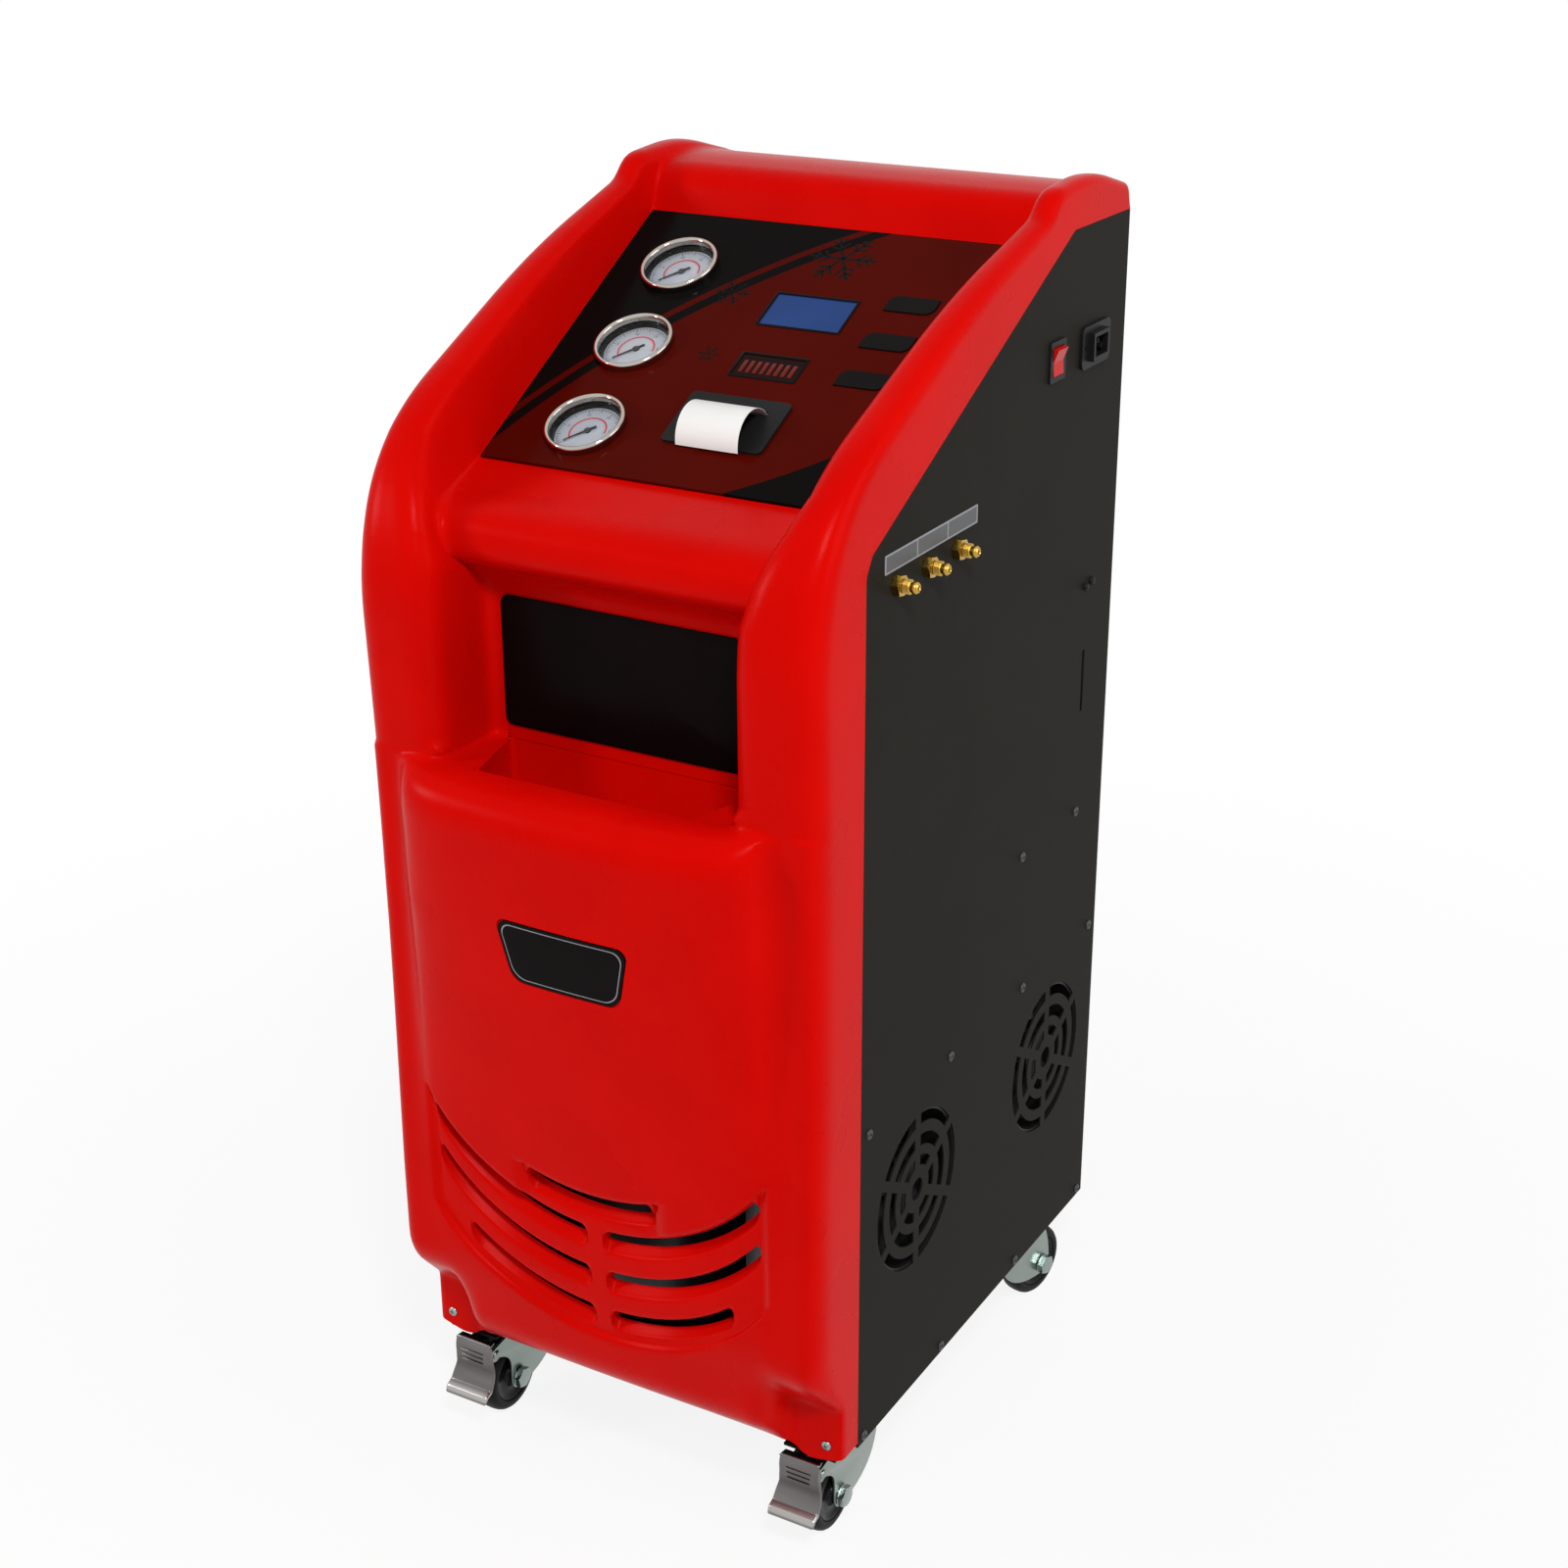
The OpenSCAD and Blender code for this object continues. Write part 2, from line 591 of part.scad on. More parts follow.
// Rear sheet between the side panels, with two banks of cooling slots
module back_panel() {
    slot = [110, 7];
    bank_x = 75;
    rows = 9;
    row_pitch = 18;
    color(sheet_black) stand()
        translate([0, cabinet_d, 0]) rotate([90, 0, 0]) linear_extrude(sheet) difference() {
        translate([-inner_x + seat_gap, cabinet_bottom])
            square([2 * (inner_x - seat_gap), cabinet_top - cabinet_bottom]);
        for (x = [-bank_x, bank_x], k = [0:rows - 1])
            translate([x, fan_z + (k - (rows - 1) / 2) * row_pitch]) rounded(slot, 3);
        for (p = back_screws) translate(p) circle(screw_hole);
    }
}

// Gauge parts, from the panel's face
gauge_case_r = gauge_r - 4;
gauge_hole = gauge_case_r + 0.5;
gauge_well_r = gauge_case_r - 2;
gauge_well = 14;
gauge_pin_r = 1.2;
display_window = display_size + [0.6, 0.6];
indicator_window = indicator_size + [0.6, 0.6];
key_gap = 0.35;
key_lip = 2;
key_lip_t = 1.7;
key_proud = 1.2;
key_stop = -panel_t - seat_gap - key_lip_t - key_travel - 0.4;
glass_drop = 0.4;
board_t = 1.6;
board_h = -9;
printer_depth = 48;
printer_box = [80, 46];
roll_h = -24;
paper_slot = [12, 5.3];
paper_t = 0.4;
curl_r = 26;
curl_at = [-9, -6];

// A key's outline: two opposite corners are round
module leaf(size, r) {
    difference() {
        square(size, center = true);
        for (k = [-1, 1]) translate([k * size[0] / 2, -k * size[1] / 2]) square(2 * r, center = true);
    }
    for (k = [-1, 1]) translate([k * (size[0] / 2 - r), -k * (size[1] / 2 - r)]) circle(r);
}

key_corner = key_size[1] / 2 - 0.5;

module control_overlay() {
    color([0.16, 0.02, 0.02]) stand() on_slope(0, 0, -panel_t) linear_extrude(panel_t) difference() {
        overlay_shape(0);
        for (g = gauges) translate(g) circle(gauge_hole);
        translate(display_at) square(display_window, center = true);
        translate(indicator_at) square(indicator_window, center = true);
        for (k = keys) translate(k) leaf(key_size + [2 * key_gap, 2 * key_gap], key_corner + key_gap);
        translate(printer_at) square(printer_box + [0.6, 0.6], center = true);
    }
}

// Display glass on the board that also carries the keys' switches
module display_module() {
    board_from = display_at[0] - display_size[0] / 2 - 6;
    board_to = keys[0][0] + key_size[0] / 2 + 4;
    key_board = [key_size[0] + 8, keys[0][1] - keys[2][1] + key_size[1] + 4];
    color([0.10, 0.20, 0.55]) stand() {
        on_slope(display_at[0], display_at[1], board_h + board_t - 0.1)
            linear_extrude(-board_h - board_t - glass_drop + 0.1) square(display_size, center = true);
        on_slope(0, 0, board_h) linear_extrude(board_t) {
            translate([board_from, display_at[1] - display_size[1] / 2 - 6])
                square([board_to - board_from, display_size[1] + 12]);
            translate(keys[1]) square(key_board, center = true);
        }
        for (k = keys) on_slope(k[0], k[1], board_h + board_t - 0.1)
            cylinder(r = 3, h = key_stop - board_h - board_t + 0.1);
    }
}

// Smoked window with a row of lamps behind it
module indicator_bar() {
    color([0.12, 0.03, 0.03]) stand() {
        on_slope(indicator_at[0], indicator_at[1], board_h + board_t - 0.1)
            linear_extrude(-board_h - board_t - glass_drop + 0.1) square(indicator_size, center = true);
        on_slope(indicator_at[0], indicator_at[1], board_h) linear_extrude(board_t)
            square(indicator_size + [8, 6], center = true);
    }
}

module gauge_cases() {
    color(sheet_black) stand() for (g = gauges) on_slope(g[0], g[1]) difference() {
        translate([0, 0, -case_depth]) cylinder(r = gauge_case_r, h = case_depth);
        translate([0, 0, -gauge_well]) cylinder(r = gauge_well_r, h = gauge_well + 1);
        translate([0, 0, -gauge_well - 5]) cylinder(r = gauge_pin_r + running, h = 10);
    }
}

module gauge_dials() {
    color([0.85, 0.86, 0.84]) stand() for (g = gauges) on_slope(g[0], g[1], -gauge_well + 0.1) difference() {
        cylinder(r = gauge_well_r - 0.2, h = 1);
        translate([0, 0, -1]) cylinder(r = gauge_pin_r + 0.5, h = 3);
    }
}

module gauge_lenses() {
    color([0.85, 0.90, 0.92, 0.3]) stand() for (g = gauges) on_slope(g[0], g[1], 0.1)
        cylinder(r = gauge_case_r - 0.2, h = 2);
}

module gauge_bezels() {
    color([0.85, 0.85, 0.86]) stand() for (g = gauges) on_slope(g[0], g[1]) rotate_extrude()
        polygon([[gauge_case_r + 0.4, 0.1], [gauge_r, 0.1], [gauge_r, bezel_h - 3],
            [gauge_r - 1.5, bezel_h - 0.6], [gauge_r - 3, bezel_h], [gauge_r - 5, bezel_h - 1],
            [gauge_r - 7.5, bezel_h - 4.5], [gauge_r - 7.5, 2.3], [gauge_case_r + 0.4, 2.3]]);
}

// A gauge's hand on its arbor, at rest on the zero stop
needle_rest = 135;
module needle(g) {
    hub_h = -gauge_well + 3;
    color([0.05, 0.05, 0.05]) stand() on_slope(g[0], g[1]) rotate(needle_rest) {
        translate([0, 0, -gauge_well - 4.5]) cylinder(r = gauge_pin_r, h = 4.5 + 4);
        translate([0, 0, hub_h]) cylinder(r = 3, h = 3);
        translate([0, 0, hub_h + 1]) linear_extrude(0.8)
            polygon([[-1.2, -8], [1.2, -8], [1.1, 0], [0.4, 21], [-0.4, 21], [-1.1, 0]]);
    }
}

module upper_needle() { needle(gauges[0]); }
module middle_needle() { needle(gauges[1]); }
module lower_needle() { needle(gauges[2]); }

// A key cap with the lip that keeps it under the panel
module key(at) {
    lip_top = -panel_t - seat_gap;
    color(sheet_black) stand() on_slope(at[0], at[1]) {
        translate([0, 0, lip_top - 0.1]) linear_extrude(key_proud - lip_top + 0.1) leaf(key_size, key_corner);
        translate([0, 0, lip_top - key_lip_t]) linear_extrude(key_lip_t)
            leaf(key_size + [2 * key_lip, 2 * key_lip], key_corner + key_lip);
    }
}

module upper_key() { key(keys[0]); }
module middle_key() { key(keys[1]); }
module lower_key() { key(keys[2]); }

// Printer: a frame on the panel and the box that holds the paper roll
module printer_body() {
    color(sheet_black) stand() on_slope(printer_at[0], printer_at[1]) difference() {
        union() {
            translate([0, 0, 0.1]) linear_extrude(2.4) rounded(printer_size, 5);
            translate([0, 0, -printer_depth]) linear_extrude(printer_depth + 1)
                square(printer_box, center = true);
        }
        translate([0, 0, roll_h]) rotate([0, 90, 0])
            cylinder(r = paper_r + 2, h = paper_w + 3, center = true);
        translate([0, 0, roll_h]) rotate([0, 90, 0])
            cylinder(r = pin_r + running, h = printer_box[0] - 4, center = true);
        translate([-paper_w / 2 - 1.5, paper_slot[0], roll_h]) cube([paper_w + 3, paper_slot[1], 40]);
    }
}

module paper_roll() {
    color([0.93, 0.93, 0.90]) stand() on_slope(printer_at[0], printer_at[1], roll_h) rotate([0, 90, 0]) {
        cylinder(r = paper_r, h = paper_w, center = true);
        cylinder(r = pin_r, h = printer_box[0] - 5, center = true);
    }
}

// The printed slip that curls out of the slot
module paper_strip() {
    color([0.93, 0.93, 0.90]) stand() on_slope(printer_at[0], printer_at[1])
        translate([-paper_w / 2, curl_at[0], curl_at[1]]) rotate([90, 0, 90]) rotate(10)
        rotate_extrude(angle = 150) translate([curl_r, 0]) square([paper_t, paper_w]);
}

// Service fittings in the right side
port_stub_r = 7;
port_hole = port_stub_r + 1;
port_bore_r = 2.5;
hex_r = 11;
hex_h = 7;
neck_h = 4;
block_x = 40;
block_z = 32;
block_y = [port_y[0] - 20, port_y[2] + 20];
stub_in = 20;

module service_ports() {
    color(brass_gold) stand() for (y = port_y) on_right(y, port_z) difference() {
        union() {
            translate([0, 0, -stub_in]) cylinder(r = port_stub_r, h = stub_in + 1);
            translate([0, 0, seat_gap]) cylinder(r = hex_r, h = hex_h, $fn = 6);
            translate([0, 0, hex_h]) cylinder(r = port_r + 1, h = neck_h);
            translate([0, 0, hex_h + neck_h - 0.5]) cylinder(r = port_r, h = port_out - hex_h - neck_h + 0.5);
        }
        translate([0, 0, port_out - 18]) cylinder(r = port_bore_r, h = 20);
    }
}

module valve_manifold() {
    color([0.70, 0.71, 0.72]) stand() difference() {
        translate([inner_x - seat_gap - block_x, block_y[0], port_z - block_z / 2])
            cube([block_x, block_y[1] - block_y[0], block_z]);
        for (y = port_y) on_right(y, port_z) translate([0, 0, -stub_in - 1])
            cylinder(r = port_stub_r + 0.2, h = stub_in + 5);
    }
}

module solenoid_valves() {
    count = 4;
    pitch = (block_y[1] - block_y[0]) / count;
    color([0.15, 0.16, 0.18]) stand() for (k = [0:count - 1])
        on_right(block_y[0] + (k + 0.5) * pitch, port_z, inner_x - 2 * seat_gap - block_x) {
            translate([0, 0, -32]) cylinder(r = 14, h = 32);
            translate([0, 0, -40]) cylinder(r = 8, h = 9);
        }
}

// Rocker switch: frame with a well, and the rocker on two pins
switch_body = switch_size - [3, 4];
switch_well = [20, 25];
rocker_r = switch_well[1] / 2 - 0.4;
rocker_w = switch_well[0] - 0.6;
rocker_pin_r = 1.5;
rocker_h = 0.5;
rocker_tilt = 9;

module switch_frame() {
    depth = 24;
    color(sheet_black) stand() on_right(switch_at[0], switch_at[1]) difference() {
        union() {
            translate([0, 0, 0.1]) linear_extrude(2.4) rounded(switch_size, 2);
            translate([0, 0, -depth]) linear_extrude(depth + 1) square(switch_body, center = true);
        }
        translate([0, 0, 5 - depth]) linear_extrude(depth) square(switch_well, center = true);
        translate([0, 0, rocker_h]) rotate([0, 90, 0])
            cylinder(r = rocker_pin_r + running, h = switch_body[0] - 2, center = true);
    }
}

module switch_rocker() {
    half = rocker_r - 0.8;
    color([0.85, 0.05, 0.04]) stand() on_right(switch_at[0], switch_at[1])
        translate([0, 0, rocker_h]) rotate([rocker_tilt, 0, 0]) {
            rotate([90, 0, 90]) linear_extrude(rocker_w, center = true) intersection() {
                polygon([[-half, -4], [half, -4], [half, 4.5], [0, 2], [-half, 4.5]]);
                circle(rocker_r);
            }
            rotate([0, 90, 0]) cylinder(r = rocker_pin_r, h = switch_body[0] - 3, center = true);
        }
}

// Mains inlet for a separate power cord
inlet_body = [32, 24];
inlet_well = [25, 17];
inlet_out = 8;
inlet_deep = 16;
inlet_blades = [[-7, -2], [0, 3], [7, -2]];

module power_inlet() {
    depth = 26;
    color(sheet_black) stand() on_right(inlet_at[0], inlet_at[1]) {
        difference() {
            union() {
                translate([0, 0, 0.1]) linear_extrude(2.9) rounded(inlet_size, 6);
                translate([0, 0, -depth]) linear_extrude(depth + inlet_out) square(inlet_body, center = true);
            }
            translate([0, 0, inlet_out - inlet_deep]) linear_extrude(20) square(inlet_well, center = true);
            for (x = [-1, 1]) translate([x * (inlet_size[0] / 2 - 7), 0, -1]) cylinder(r = screw_hole, h = 6);
        }
        for (p = inlet_blades) translate([p[0] - 1, p[1] - 2, inlet_out - inlet_deep - 0.5]) cube([2, 4, 13]);
    }
}

// Cooling fans behind the right side's grilles
fan_shaft_r = 3;
fan_hub_r = 22;
fan_blades = 7;

module fan_frames() {
    bar = 8;
    color(sheet_black) stand() for (y = fan_y) on_right(y, fan_z, inner_x - seat_gap) {
        translate([0, 0, -fan_depth]) linear_extrude(fan_depth) difference() {
            square(fan_box, center = true);
            circle(fan_r - 2);
        }
        translate([0, 0, -fan_depth]) cylinder(r = fan_hub_r + 2, h = 8);
        translate([0, 0, -fan_depth]) for (k = [0:2]) rotate(k * 120) translate([0, -bar / 2, 0])
            cube([fan_r, bar, 5]);
        translate([0, 0, -fan_depth + 7]) cylinder(r = fan_shaft_r, h = fan_depth - 14);
    }
}

module fan_rotor(y) {
    chord = 20;
    pitch_angle = 35;
    blade = fan_r - 6 - fan_hub_r + 4;
    color([0.2, 0.2, 0.2]) stand() on_right(y, fan_z, inner_x - seat_gap) difference() {
        union() {
            translate([0, 0, -fan_depth + 10]) cylinder(r = fan_hub_r, h = fan_depth - 18);
            for (k = [0:fan_blades - 1]) rotate(k * 360 / fan_blades)
                translate([fan_hub_r - 4, 0, -fan_depth / 2 + 1]) rotate([pitch_angle, 0, 0])
                translate([0, -chord / 2, -1]) cube([blade, chord, 2]);
        }
        translate([0, 0, -fan_depth]) cylinder(r = fan_shaft_r + running, h = fan_depth);
    }
}

module front_fan_rotor() { fan_rotor(fan_y[0]); }
module rear_fan_rotor() { fan_rotor(fan_y[1]); }

// Button-head screws of the sheets and of the shell's corner tabs
module screw(length) {
    translate([0, 0, 0.1]) cylinder(r1 = 4.5, r2 = 3, h = 2.2);
    translate([0, 0, -length]) cylinder(r = screw_r, h = length + 1);
}

module panel_screws() {
    length = sheet + seat_gap + base_t + 0.2;
    color([0.12, 0.12, 0.12]) stand() {
        mirror_x() for (p = side_screws) on_right(p[0], p[1]) screw(p[1] == low_screws[0][1] ? length : 3);
        for (p = back_screws) translate([p[0], cabinet_d, p[1]]) rotate([-90, 0, 0]) screw(3);
    }
}

module shell_screws() {
    length = shell_wall + base_t + 2.5;
    color(zinc) stand() mirror_x() translate([tab_screw[0], -tab_depth, tab_screw[1]]) rotate([90, 0, 0])
        screw(length);
}

// Refrigerant tank with foot ring, collar and two valves, on its scale
tank_gap = 13.5;
tank_at = [tank_r + tank_gap - inner_x, cabinet_d - 140];
scale_h = 40;
scale_w = 2 * (tank_r + scale_margin);

module refrigerant_tank() {
    dome = 28;
    foot_h = 18;
    foot_t = 4;
    foot_r = tank_r - 26;
    neck_r = 22;
    neck_h = 14;
    valve_x = 14;
    valve_r = 6;
    valve_h = 26;
    color([0.45, 0.47, 0.50]) stand() translate([tank_at[0], tank_at[1], floor_z + scale_h + seat_gap]) {
        rotate_extrude() polygon([[0, foot_h], [foot_r - foot_t, foot_h], [foot_r - foot_t, 0], [foot_r, 0],
            [foot_r, foot_h - 2], [tank_r - dome / 3, foot_h + 4], [tank_r, foot_h + dome - 6],
            [tank_r, tank_h - dome], [tank_r - dome / 2, tank_h - dome / 3],
            [tank_r / 2, tank_h], [0, tank_h]]);
        translate([0, 0, tank_h - 2]) cylinder(r = neck_r, h = neck_h);
        for (x = [-valve_x, valve_x]) translate([x, 0, tank_h + neck_h - 4]) {
            cylinder(r = valve_r, h = valve_h);
            translate([0, 0, valve_h - 2]) cylinder(r = valve_r + 5, h = 7);
        }
    }
}

module tank_scale() {
    plate = 4;
    color(zinc) stand() translate([tank_at[0], tank_at[1], floor_z]) {
        linear_extrude(plate) square(scale_w, center = true);
        translate([0, 0, plate - 0.5]) linear_extrude(scale_h - 2 * plate + 1)
            square([0.6 * scale_w, scale_h], center = true);
        translate([0, 0, scale_h - plate]) linear_extrude(plate) square(scale_w, center = true);
    }
}

// Condenser coil in front of the fans' suction side
condenser_depth = 40;
coil_x = condenser_x - condenser_depth;
separator_gap = 7.5;
separator_r = 32;
separator_h = 190;
separator_foot = 2 * separator_r + 26;
separator_at = [coil_x - separator_gap - separator_foot / 2, 110];
compressor_gap = 12;
compressor_plate = 2 * compressor_r + 6;
compressor_at = [separator_at[0] - separator_foot / 2 - compressor_gap - compressor_plate / 2, 112];

module compressor() {
    foot = 12;
    plate = compressor_plate;
    color([0.08, 0.08, 0.09]) stand() translate([compressor_at[0], compressor_at[1], floor_z]) {
        for (x = [-1, 1], y = [-1, 1]) translate([x * (plate / 2 - 14), y * (plate / 2 - 14), 0])
            cylinder(r = 10, h = foot + 1);
        translate([0, 0, foot]) linear_extrude(3) square(plate, center = true);
        translate([0, 0, foot + 2]) rotate_extrude() polygon([[0, 0], [compressor_r - 12, 0],
            [compressor_r, 16], [compressor_r, compressor_h - 50], [compressor_r - 10, compressor_h - 18],
            [compressor_r - 36, compressor_h], [0, compressor_h]]);
        for (x = [-20, 20]) translate([x, 0, foot + compressor_h - 4]) cylinder(r = 5, h = 40);
    }
}

// Vacuum pump in the room between the tank's scale and the condenser
pump_gap = 12;
pump_room = coil_x - tank_at[0] - scale_w / 2;
pump_at = [coil_x - pump_room / 2, cabinet_d - 132];
pump_foot = [pump_room - 2 * pump_gap, 190];
pump_l = 80;
motor_r = pump_foot[0] / 2 - 4;
motor_l = 120;

module vacuum_pump() {
    foot_t = 5;
    axis_z = motor_r + 14;
    front = -pump_foot[1] / 2 - 3;
    color([0.16, 0.24, 0.42]) stand() translate([pump_at[0], pump_at[1], floor_z]) {
        linear_extrude(foot_t) square(pump_foot, center = true);
        translate([0, 0, foot_t - 1]) linear_extrude(axis_z - motor_r / 2)
            square([pump_foot[0] / 2, pump_foot[1] * 0.8], center = true);
        translate([0, front + pump_l - 2, axis_z]) rotate([-90, 0, 0]) cylinder(r = motor_r, h = motor_l);
        translate([-motor_r, front, axis_z - motor_r + 2]) cube([2 * motor_r, pump_l, 2 * motor_r + 14]);
        translate([0, front + pump_l / 2, axis_z + motor_r + 10]) cylinder(r = 11, h = 32);
    }
}

module condenser() {
    depth = condenser_depth;
    y_from = 30;
    y_to = cabinet_d - 30;
    core_h = 150;
    bends = 5;
    bend_r = core_h / bends / 4;
    color([0.70, 0.71, 0.72]) stand() {
        translate([condenser_x - depth + 2, y_from, fan_z - core_h / 2 + 3])
            cube([depth - 4, y_to - y_from, core_h - 6]);
        for (y = [y_from, y_to - 2]) translate([condenser_x - depth, y, floor_z])
            cube([depth, 2, fan_z + core_h / 2 - floor_z]);
        for (k = [0:bends - 1]) translate([condenser_x - depth / 2, y_to - 0.5,
            fan_z - core_h / 2 + (k + 0.5) * core_h / bends])
            rotate([0, 90, 0]) rotate_extrude(angle = 180) translate([bend_r, 0]) circle(4);
    }
}

module canister(r, h) {
    rotate_extrude() polygon([[0, 0], [r - 6, 0], [r, 8], [r, h - 12], [r - 10, h], [0, h]]);
}

// A canister on a square foot with a pipe on top
module canister_on_foot(r, h, foot, pipe_h) {
    pipe_r = 6;
    foot_t = 3;
    linear_extrude(foot_t) square(foot, center = true);
    translate([0, 0, foot_t - 1]) canister(r, h);
    translate([0, 0, h - 4]) cylinder(r = pipe_r, h = pipe_h);
}

drier_r = 33;
drier_gap = 45.5;
drier_at = [inner_x - drier_gap - drier_r - 10, 120];
drier_h = 150;
bottle_r = 24;
bottle_h = 118;
bottle_neck_r = 10;
board_at = [-80, 170];
board_size = [200, 180];
supply_at = [90, cabinet_d - 170];
supply_size = [100, 190, 62];

module oil_separator() {
    color([0.45, 0.47, 0.50]) stand() translate([separator_at[0], separator_at[1], floor_z])
        canister_on_foot(separator_r, separator_h, separator_foot, 30);
}

module filter_drier() {
    color(brass_gold) stand() translate([drier_at[0], drier_at[1], deck_z])
        canister_on_foot(drier_r, drier_h, 2 * drier_r + 20, 24);
}

// Oil bottle behind the sight slot in the right side
module oil_bottle() {
    color([0.90, 0.88, 0.80]) stand() translate([inner_x - bottle_r - 3, sight_slot[0], deck_z]) {
        canister(bottle_r, bottle_h);
        translate([0, 0, bottle_h - 4]) cylinder(r = bottle_neck_r, h = 22);
    }
}

module control_board() {
    leg_h = 12;
    blocks = [[-60, 40, 30, 14], [-10, 50, 44, 10], [50, 40, 40, 26], [-50, -40, 60, 18], [40, -30, 34, 12]];
    color([0.05, 0.30, 0.12]) stand() translate([board_at[0], board_at[1], deck_z]) {
        for (x = [-1, 1], y = [-1, 1])
            translate([x * (board_size[0] / 2 - 8), y * (board_size[1] / 2 - 8), 0])
            cylinder(r = 4, h = leg_h + 1);
        translate([0, 0, leg_h]) linear_extrude(board_t) square(board_size, center = true);
        for (p = blocks) translate([p[0], p[1], leg_h + 1]) linear_extrude(p[3])
            square([p[2], p[2] * 0.7], center = true);
    }
}

module power_supply() {
    slot = [6, 12];
    slot_pitch = 14;
    color(zinc) stand() translate([supply_at[0], supply_at[1], deck_z]) difference() {
        linear_extrude(supply_size[2]) square([supply_size[0], supply_size[1]], center = true);
        for (k = [-5:5]) translate([-supply_size[0], k * slot_pitch, supply_size[2] - 2 * slot[1]])
            cube([2 * supply_size[0], slot[0], slot[1]]);
    }
}

// Casters, each about its own swivel axis with the wheel towards -Y
caster_list = [[caster_x, caster_front_y, 0], [-caster_x, caster_front_y, 0],
    [caster_x, caster_rear_y, 180 - rear_swivel], [-caster_x, caster_rear_y, 180 + rear_swivel]];
leg_x = wheel_w / 2 + wheel_side_gap;
leg_out = leg_x + leg_t;
crown_r = 24;
crown_top = crown_z + crown_t;
race_r = 22;
pedal_t = 2;
ear_gap = 0.6;
ear_t = 2;

module at_caster(i) {
    translate([caster_list[i][0], caster_list[i][1], 0]) rotate(caster_list[i][2]) children();
}

module caster_plates() {
    plate_w = 64;
    plate_top = tray_z - seat_gap;
    color(zinc) stand() for (i = [0:3]) translate([caster_list[i][0], caster_list[i][1], 0]) {
        translate([0, 0, plate_top - plate_t]) linear_extrude(plate_t) rounded([plate_w, plate_w], 8);
        translate([0, 0, crown_top + seat_gap]) cylinder(r = race_r, h = plate_top - plate_t - crown_top);
        translate([0, 0, crown_z - 3]) cylinder(r = kingpin_r, h = crown_t + 5);
        translate([0, 0, crown_z - 4]) cylinder(r = kingpin_r + 3, h = 4 - seat_gap);
    }
}

function curve(a, p, c) = [for (k = [0:6]) let (t = k / 6)
    (1 - t) * (1 - t) * a + 2 * t * (1 - t) * p + t * t * c];

// Outline of a fork's leg, Y back and Z up: a curved back edge, the eye of the axle, and on
// the braked casters an arch and the lug of the pedal's pin
module fork_leg(braked) {
    eye_r = 11;
    lug_r = 7;
    front = -caster_trail - eye_r;
    back = 42;
    difference() {
        union() {
            polygon(concat(
                curve([back, crown_top], [back + 8, wheel_r - eye_r], [2 - caster_trail, wheel_r - eye_r]),
                [[front, wheel_r]],
                braked ? concat(
                    curve([front, wheel_r + 20], [front - 1, wheel_r + 32], pedal_pin + [3, -lug_r]),
                    [pedal_pin + [0, lug_r]]) :
                    curve([front, wheel_r + 6], [front + 4, crown_z - 4], [-16, crown_z]),
                [[-16, crown_top]]));
            translate([-caster_trail, wheel_r]) circle(eye_r);
            if (braked) translate(pedal_pin) circle(lug_r);
        }
        translate([-caster_trail, wheel_r]) circle(axle_r + 0.1);
        if (braked) translate(pedal_pin) circle(pin_r + running);
    }
}

// Fork: a crown on the kingpin and two legs beside the wheel
module fork(i) {
    color(zinc) stand() at_caster(i) {
        translate([0, 0, crown_z]) difference() {
            cylinder(r = crown_r, h = crown_t);
            translate([0, 0, -1]) cylinder(r = kingpin_r + running, h = crown_t + 2);
        }
        for (x = [-leg_out, leg_x])
            translate([x, 0, 0]) rotate([90, 0, 90]) linear_extrude(leg_t) fork_leg(i < 2);
    }
}

module fork_front_right() { fork(0); }
module fork_front_left() { fork(1); }
module fork_rear_right() { fork(2); }
module fork_rear_left() { fork(3); }

// Axle bolt with its hexagon head towards the right side of the cabinet
module axle(i) {
    head = 6.5;
    turn = i < 2 ? 0 : 180;
    color(zinc) stand() at_caster(i) translate([0, -caster_trail, wheel_r]) rotate([0, 90, turn]) {
        cylinder(r = axle_r, h = 2 * (leg_out + head), center = true);
        for (z = [leg_out + 0.2, -leg_out - 0.2 - head]) translate([0, 0, z])
            cylinder(r = 2 * axle_r, h = head, $fn = 6);
    }
}

module axle_front_right() { axle(0); }
module axle_front_left() { axle(1); }
module axle_rear_right() { axle(2); }
module axle_rear_left() { axle(3); }

module wheel(i) {
    half = wheel_w / 2;
    bore = axle_r + running;
    hub = 11;
    color([0.06, 0.06, 0.06]) stand() at_caster(i) translate([0, -caster_trail, wheel_r]) rotate([0, 90, 0])
        rotate_extrude($fn = 72) polygon([[bore, -half - 1.5], [hub, -half - 1.5], [hub + 1, 4 - half],
            [wheel_r - 12, 4 - half], [wheel_r - 10, -half], [wheel_r - 4, -half],
            [wheel_r - 1, -half + 2.5], [wheel_r, -half + 6], [wheel_r, half - 6],
            [wheel_r - 1, half - 2.5], [wheel_r - 4, half], [wheel_r - 10, half],
            [wheel_r - 12, half - 4], [hub + 1, half - 4], [hub, half + 1.5], [bore, half + 1.5]]);
}

module wheel_front_right() { wheel(0); }
module wheel_front_left() { wheel(1); }
module wheel_rear_right() { wheel(2); }
module wheel_rear_left() { wheel(3); }

// Pressed brake pedal: curved plate, two ears and the pin they turn on
pedal_path = [for (p = [[-63, 95], [-68, 94], [-72, 88], [-72, 76], [-69, 66], [-70, 58], [-77, 48],
    [-83, 40], [-82, 34], [-76, 32]]) [p[0], p[1], 0, 0, pedal_t]];

